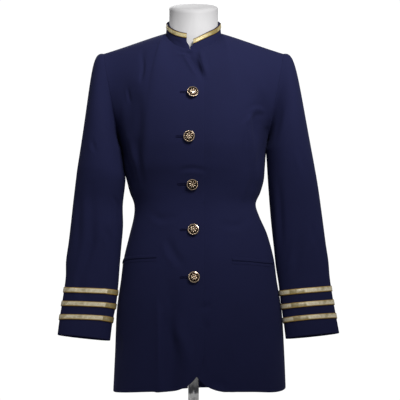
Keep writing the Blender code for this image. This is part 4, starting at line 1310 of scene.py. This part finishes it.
@dataclass
class Closure:
    """Five gilt buttons, each with its worked buttonhole."""

    shape: BodyShape
    palette: Palette
    # height, x, tilt up and tilt to the wearer's left in degrees, the buttonhole's offset and length
    rows: tuple = ((758.2, -1.7, 9.0, 9.0, -20.0, 15.0), (662.3, -8.5, 3.0, -4.0, -20.5, 18.0),
                   (560.9, -2.1, -2.0, 2.0, -22.5, 20.0), (461.3, 0.5, 4.0, -3.0, -21.5, 16.0),
                   (357.8, 1.6, 1.0, 3.0, -21.5, 18.0))
    radius: float = 12.5
    shank_radius: float = 3.5
    # how far each step insets the button's face, and how far it then lifts it
    face_steps: tuple = ((1.9, 0.5), (0.5, -0.9), (3.4, 1.0), (3.2, 0.6))
    # segments, rings, radius, place, stretch and count of the rope's beads, the petals and the boss
    beads: tuple = ((10, 6, 1.0, (11.15, 0.0, 5.75), (1.25, 0.75, 0.8), 30),
                    (14, 8, 1.0, (5.4, 0.0, 6.0), (3.0, 1.55, 1.5), 8),
                    (20, 10, 2.2, (0.0, 0.0, 6.6), (1.0, 1.0, 1.0), 1))
    # how far each button is turned from the one above it, in degrees
    turn: float = 23.0
    button_lift: float = 0.25
    hole_lift: float = 0.15

    def model_button(self) -> Item:
        """Models one button at the origin, looking up: a roped rim, a sunk ground and a rosette."""
        deselect()
        bpy.ops.mesh.primitive_cylinder_add(vertices=48, radius=self.radius * 0.97, depth=1.8,
                                            location=(0.0, 0.0, 4.6))
        button = bpy.context.object
        bpy.ops.object.transform_apply(location=True)
        pick_faces(button, lambda face: face.normal.z > 0.9)
        for inset, rise in self.face_steps:
            bpy.ops.mesh.inset(thickness=inset)
            bpy.ops.transform.translate(value=(0.0, 0.0, rise))
        pick_faces(button, lambda face: face.normal.z < -0.9)
        bpy.ops.mesh.inset(thickness=self.radius * 0.97 - self.shank_radius)
        bpy.ops.mesh.extrude_region_move(TRANSFORM_OT_translate={"value": (0.0, 0.0, -3.1)})
        bpy.ops.object.mode_set(mode="OBJECT")
        button.data.materials.append(self.palette.gilt)
        button.data.materials.append(self.palette.ground)
        # The sunk ground's faces take the near-black finish: patina together with painted shade of the
        # recesses.
        for face in button.data.polygons:
            reach = math.hypot(face.center.x, face.center.y)
            face.material_index = 1 if 1.0 < reach < self.radius - 2.4 and face.normal.z > 0.3 else 0
        parts = [button, *(self.model_bead(*bead) for bead in self.beads)]
        deselect()
        for part in parts:
            part.select_set(True)
        bpy.context.view_layer.objects.active = button
        bpy.ops.object.join()
        bpy.ops.object.mode_set(mode="EDIT")
        bpy.ops.mesh.select_all(action="SELECT")
        bpy.ops.mesh.normals_make_consistent(inside=False)
        bpy.ops.object.mode_set(mode="OBJECT")
        bpy.ops.object.shade_smooth_by_angle(angle=math.radians(35.0))
        return button

    def model_bead(self, segments: int, rings: int, radius: float, place: tuple, stretch: tuple,
                   count: int) -> Item:
        """A ball, stretched in its place and repeated round the button's middle."""
        bpy.ops.mesh.primitive_uv_sphere_add(segments=segments, ring_count=rings, radius=radius,
                                             location=place)
        bead = bpy.context.object
        bpy.ops.object.mode_set(mode="EDIT")
        bpy.ops.transform.resize(value=stretch)
        bpy.ops.object.mode_set(mode="OBJECT")
        bpy.ops.object.transform_apply(location=True)
        if count > 1:
            self.repeat(count)
        bead.data.materials.append(self.palette.gilt)
        return bead

    @staticmethod
    def repeat(count: int) -> None:
        """Repeats the active object's mesh round the z axis."""
        bpy.ops.object.mode_set(mode="EDIT")
        bpy.ops.mesh.select_all(action="SELECT")
        bpy.ops.mesh.spin(steps=count, dupli=True, angle=2.0 * math.pi, center=(0.0, 0.0, 0.0),
                          axis=(0.0, 0.0, 1.0))
        bpy.ops.mesh.select_all(action="SELECT")
        bpy.ops.mesh.remove_doubles(threshold=0.0001)
        bpy.ops.object.mode_set(mode="OBJECT")

    def model_hole(self, length: float) -> Item:
        """Models one worked buttonhole at the origin, along x: a long bead of twist."""
        deselect()
        bpy.ops.mesh.primitive_torus_add(major_segments=36, minor_segments=10, major_radius=1.6,
                                         minor_radius=0.95, location=(0.0, 0.0, 0.0))
        hole = bpy.context.object
        for sign in (-1.0, 1.0):
            pick_faces(hole, lambda face: face.center.x * sign > 0.05 and abs(face.center.x) < 3.0)
            bpy.ops.transform.translate(value=(sign * 0.5 * (length - 5.1), 0.0, 0.0))
        bpy.ops.object.mode_set(mode="OBJECT")
        hole.data.materials.append(self.palette.twist)
        bpy.ops.object.shade_smooth()
        return hole

    @staticmethod
    def place_copy(model: Item, name: str, seat: Array, normal: Array,
                   turn: float = 0.0) -> Item:
        """Copies a model's mesh to its seat, its z along the normal and its y up."""
        up = np.array((0.0, 0.0, 1.0)) - normal * normal[2]
        up = up / np.linalg.norm(up)
        right = np.cross(up, normal)
        basis = Matrix((right, up, normal)).transposed().to_4x4()
        mesh = model.data.copy()
        mesh.name = name
        mesh.transform(Matrix.Scale(MM, 4) @ Matrix.Translation(Vector(seat)) @ basis
                       @ Matrix.Rotation(math.radians(turn), 4, "Z"))
        return link_object(name, mesh)

    def seat(self, skin: BVHTree, x: float, r: Array) -> tuple[Array, Array]:
        """The place on the front at an x and a row, and its outward direction."""
        s = self.shape.place_at_x(np.array(x), r, True)
        normal = self.shape.normal(s, r, True)
        return seat_on(skin, self.shape.point(s, r, True), normal), normal

    def build(self, front: Item) -> None:
        """Builds the buttons and the buttonholes on the right front."""
        skin = skin_of(front)
        button = self.model_button()
        for number, (z, x, up, left, offset, length) in enumerate(self.rows, 1):
            r = self.shape.row_at_height(np.array(z))
            seat, normal = self.seat(skin, x, r)
            tilted = unit(normal + np.array((math.tan(math.radians(left)), 0.0, math.tan(math.radians(up)))))
            dress(self.place_copy(button, f"gilt_button_{number}", seat + normal * self.button_lift, tilted,
                                  self.turn * number), Slot.GILT, f"button_{number}")
            seat, normal = self.seat(skin, x + offset, r)
            hole = self.model_hole(length)
            dress(self.place_copy(hole, f"worked_buttonhole_{number}", seat + normal * self.hole_lift,
                                  normal), Slot.WOOL)
            bpy.data.objects.remove(hole)
        bpy.data.objects.remove(button)


# The dress form


@dataclass
class DressForm:
    """The torso, pole and base, on the form of their solids, with the neck drawn up a little."""

    palette: Palette
    neck_from: float = 925.0
    neck_rise: float = 6.5
    neck_run: float = 30.0
    sharp_angle: float = 38.0
    weld: float = 0.02

    def build(self, nodes: dict[str, Item]) -> None:
        """Builds each piece from its solid, welded so that it shades smoothly."""
        finishes = {"form_torso": self.palette.shell, "form_pole": self.palette.enamel,
                    "form_base": self.palette.enamel}
        for name, finish in finishes.items():
            mesh = nodes[name].data.copy()
            mesh.transform(nodes[name].matrix_world)
            bm = bmesh.new()
            bm.from_mesh(mesh)
            bmesh.ops.remove_doubles(bm, verts=bm.verts, dist=self.weld * MM)
            for vert in bm.verts:
                share = float(smooth((vert.co.z / MM - self.neck_from) / self.neck_run))
                vert.co.z += self.neck_rise * MM * share
            bm.to_mesh(mesh)
            bm.free()
            mesh.materials.clear()
            mesh.materials.append(finish)
            deselect()
            item = link_object(f"dress_{name}", mesh)
            item.select_set(True)
            bpy.context.view_layer.objects.active = item
            bpy.ops.object.shade_smooth_by_angle(angle=math.radians(self.sharp_angle))
            dress(item, Slot.SHELL, name)


# The studio


@dataclass
class Studio:
    """The floor, the lights and the camera.

    The world looks white to the camera, greyer in reflections, and lights the part with its own, lower
    strength, as a white wall does that is lit by itself.
    """

    palette: Palette
    camera_x: float = 14.6
    camera_y: float = -3200.0
    camera_z: float = 350.0
    frame_width: float = 900.0
    frame_centre_z: float = 532.0
    sensor: float = 36.0
    floor_radius: float = 950.0
    # name, place, height on the part that it looks at, size, power and spread of each soft box
    soft_boxes: tuple = (
        ("key_box", (0.62, -1.35, 1.85), 0.9, 0.7, 3.7, 52.0),
        ("left_box", (1.7, -0.75, 1.35), 0.9, 0.6, 0.35, 60.0),
        ("right_box", (-1.7, -0.75, 1.35), 0.9, 0.6, 0.3, 60.0),
        ("back_box", (-0.5, 2.0, 1.75), 0.9, 0.9, 4.5, 80.0),
        ("fill_box", (-1.2, -2.4, 1.3), 0.8, 1.2, 0.5, 90.0),
    )
    # the world's strength as light, in reflections and behind the part
    ambient: float = 0.165
    reflected: float = 0.36
    backdrop: float = 1.05

    def floor(self) -> None:
        """A round white floor, which ends just before it would show in the photograph's frame."""
        deselect()
        bpy.ops.mesh.primitive_cylinder_add(vertices=96, radius=self.floor_radius * MM, depth=0.02,
                                            location=(0.0, 0.0, -0.01))
        floor = bpy.context.object
        floor.name = "studio_floor"
        bpy.ops.object.transform_apply(location=True)
        floor.data.materials.append(self.palette.paper)

    @staticmethod
    def light(name: str, place: Sequence[float], aim: float, size: float, power: float,
              spread: float) -> None:
        """A square soft box that looks at the part, with a grid that narrows its beam to the spread."""
        data = bpy.data.lights.new(name, "AREA")
        data.size = size
        data.energy = power
        data.spread = math.radians(spread)
        item = bpy.data.objects.new(name, data)
        item.location = place
        way = Vector((0.0, 0.0, aim)) - Vector(place)
        item.rotation_euler = way.to_track_quat("-Z", "Y").to_euler()
        bpy.context.scene.collection.objects.link(item)

    def build(self) -> None:
        """Sets up the whole studio."""
        self.floor()
        world = bpy.data.worlds.new("studio")
        world.use_nodes = True
        background = world.node_tree.nodes["Background"]
        background.inputs["Color"].default_value = (1.0, 1.0, 1.0, 1.0)
        path = add_node(world.node_tree, "LightPath")
        soft = add_node(world.node_tree, "MapRange", {"To Min": self.ambient, "To Max": self.reflected},
                        {"Value": path.outputs["Is Glossy Ray"]})
        strength = add_node(world.node_tree, "Mix", {"data_type": "FLOAT", 3: self.backdrop},
                            {0: path.outputs["Is Camera Ray"], 2: soft.outputs[0]})
        world.node_tree.links.new(strength.outputs[0], background.inputs["Strength"])
        bpy.context.scene.world = world
        bpy.context.scene.view_settings.view_transform = "Standard"
        for box in self.soft_boxes:
            self.light(*box)
        data = bpy.data.cameras.new("camera")
        data.sensor_width = self.sensor
        data.lens = self.sensor * -self.camera_y / self.frame_width
        data.shift_y = (self.frame_centre_z - self.camera_z) / self.frame_width
        camera = bpy.data.objects.new("camera", data)
        camera.location = Vector((self.camera_x, self.camera_y, self.camera_z)) * MM
        camera.rotation_euler = (math.pi / 2.0, 0.0, 0.0)
        bpy.context.scene.collection.objects.link(camera)
        bpy.context.scene.camera = camera


RIGHT_SLEEVE_ROWS = (
    (640, 254, 160.3, -12, 61),
    (600, 259.9, 155, -16, 57),
    (582, 262.2, 152.2, -16, 54.5),
    (563, 264.6, 153.6, -14, 52),
    (523, 269.6, 158.5, -10, 47),
    (478, 274.2, 157.8, -12, 43),
    (432, 279.2, 161.5, -16, 38),
    (388, 284.8, 164.8, -22, 33),
    (352, 285, 167, -28, 29),
    (307, 290.5, 171.5, -35, 27),
    (262, 297, 180, -41, 25),
    (224, 301.5, 184.5, -46, 24),
)
LEFT_SLEEVE_ROWS = (
    (640, 264.8, 162.4, -12, 61),
    (617, 269, 164, -13, 58),
    (563, 278.4, 167.6, -12, 52),
    (496, 287.6, 173, -11, 45),
    (428, 295.9, 180, -17, 37),
    (388, 301.5, 184, -22, 33),
    (352, 304, 189.4, -28, 29),
    (307, 310, 194.3, -35, 27),
    (262, 317.5, 200.5, -41, 25),
    (228, 323.5, 204.5, -46, 24),
)

# Every crease: half width, depth, then x and z along its line. A minus depth is a ridge.
FRONT_CREASES = read_creases((
    (3.2, 2.2, (-111, 842), (-110, 813), (-115, 789)),
    (3, 1.8, (-144, 774), (-142, 758), (-138, 740)),
    (10, -1.2, (-108, 775), (-106, 706), (-108, 640), (-110, 560)),
    (14, 5, (-121, 767), (-119, 706), (-122, 647), (-124, 575)),
    (9, 1.6, (-137, 756), (-139, 714), (-143, 659)),
    (7, 2.6, (-127, 662), (-121, 610), (-112, 566)),
    (9, 2.8, (-57, 444), (-44, 413), (-20, 380)),
    (8, 1.6, (-92, 500), (-70, 486), (-38, 490)),
    (5, 1.6, (-31, 590), (-3, 594), (30, 589)),
    (12, 7, (137, 722), (140, 690), (148, 650), (150, 597)),
    (6, -3.4, (122, 690), (124, 712), (140, 726), (158, 724)),
    (9, 7, (163, 696), (161, 650), (150, 606)),
    (8, 6, (-161, 680), (-150, 632), (-138, 592), (-131, 560)),
    (3.4, 2.2, (116, 699), (118, 644)),
    (4.5, 2, (106, 697), (124, 715), (144, 725)),
    (8, 2.2, (134, 596), (127, 550), (116, 512)),
    (8, 1.5, (118, 486), (96, 470), (58, 474)),
    (7, 1.6, (60, 187), (84, 176)),
    (6, 1.8, (138, 148), (156, 168)),
    (9, 2.4, (36, 133), (73, 124)),
    (7, 1.6, (40, 300), (14, 288)),
    (6, 1.6, (30, 262), (27, 240)),
    (5, 1.8, (18, 196), (16, 148)),
    (4, 2.6, (-36, 856), (-16, 852), (2, 854)),
    (1.9, 1.1, (-23, 840), (-7, 839)),
    (1.9, 1.1, (-12, 846), (2, 847)),
    (6, 5.6, (-14, 856), (0, 830), (19, 798)),
    (6, -4.2, (15, 858), (21, 828), (29, 796)),
    (6.5, 3.4, (-68, 312), (-64, 254), (-63, 179), (-63, 90)),
    (14, 0.8, (-60, 300), (-52, 240), (-42, 200), (-34, 150), (-32, 100)),
    (12, -4, (-44, 290), (-32, 240), (-16, 200), (-4, 150)),
    (7, 2.4, (-168, 236), (-164, 206), (-170, 184)),
))
BACK_CREASES = read_creases((
    (6, 2, (-96, 838), (-102, 790), (-118, 730)),
    (5, 1.8, (98, 840), (108, 786), (116, 738)),
    (8, 3.2, (-146, 742), (-138, 690), (-120, 640)),
    (9, 3.4, (150, 752), (140, 700), (128, 628)),
    (8, 1.8, (-60, 846), (0, 832), (54, 848)),
    (7, 2, (-104, 556), (-58, 540), (-14, 548)),
    (6, 1.8, (112, 540), (70, 528), (20, 536)),
    (5, 1.4, (-86, 514), (-48, 506), (-16, 512)),
    (11, 5, (-52, 392), (-66, 300), (-72, 170), (-74, 100)),
    (12, 4.2, (66, 404), (82, 318), (88, 196), (86, 104)),
    (9, 2.6, (-124, 330), (-132, 240), (-134, 150)),
    (8, 2.4, (134, 296), (140, 210), (146, 132)),
))
RIGHT_SLEEVE_FRONT = read_creases((
    (9, 5, (-225, 559), (-224, 444), (-238, 392), (-250, 348), (-241, 317), (-232, 290)),
    (5, 1.8, (-223, 660), (-216, 634)),
    (4, 1.8, (-178, 538), (-167, 516), (-165, 480)),
    (7, 2.4, (-180, 767), (-175, 723), (-164, 679)),
    (6, 1.8, (-252, 539), (-254, 485), (-259, 419)),
    (7, 1.6, (-196, 470), (-182, 430), (-178, 380)),
    (5, 1.8, (-256, 352), (-251, 316)),
))
RIGHT_SLEEVE_BACK = read_creases((
    (8, 2.2, (-236, 640), (-222, 560), (-226, 470)),
    (6, 2, (-196, 566), (-214, 532), (-246, 512)),
    (5, 1.5, (-198, 520), (-220, 494), (-250, 488)),
    (7, 2.2, (-190, 700), (-206, 650), (-212, 604)),
    (7, 1.8, (-218, 420), (-236, 372), (-240, 320)),
))
LEFT_SLEEVE_FRONT = read_creases((
    (8, 2.4, (241, 458), (230, 407), (222, 348)),
    (5, 1.8, (263, 480), (267, 436)),
    (7, 1.6, (236, 640), (245, 591)),
    (6, 2.2, (189, 573), (194, 496), (196, 418)),
    (5, 1.4, (235, 326), (228, 282), (235, 242)),
    (6, 1.8, (196, 742), (188, 700), (180, 664)),
    (6, 1.6, (284, 420), (288, 352)),
))
LEFT_SLEEVE_BACK = read_creases((
    (8, 2.2, (242, 652), (226, 580), (232, 496)),
    (6, 2, (198, 556), (222, 528), (258, 520)),
    (5, 1.6, (204, 506), (232, 490), (262, 494)),
    (7, 2, (190, 712), (208, 664), (214, 612)),
    (7, 1.8, (236, 410), (254, 364), (262, 300)),
))
COLLAR_CREASES = read_creases((
    (4, 0.7, (-44, 884), (-34, 878), (-22, 866)),
    (4, 0.5, (30, 886), (40, 892)),
))


def main() -> None:
    """Builds the jacket, the form and the studio."""
    logging.basicConfig(level=logging.INFO, format="%(name)s %(message)s")
    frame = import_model()
    palette = Palette()
    shape = BodyShape()
    Studio(palette).build()
    body = JacketBody(shape, palette, front_creases=FRONT_CREASES, back_creases=BACK_CREASES)
    fronts = body.build()
    Sleeve(Side.RIGHT, shape, palette, RIGHT_SLEEVE_ROWS, RIGHT_SLEEVE_FRONT, RIGHT_SLEEVE_BACK).build()
    Sleeve(Side.LEFT, shape, palette, LEFT_SLEEVE_ROWS, LEFT_SLEEVE_FRONT, LEFT_SLEEVE_BACK).build()
    Collar(shape, palette, creases=COLLAR_CREASES).build()
    HipPockets(shape, palette).build(fronts)
    Closure(shape, palette).build(fronts[Side.RIGHT])
    DressForm(palette).build(frame["nodes"])


if __name__ == "__main__":
    main()
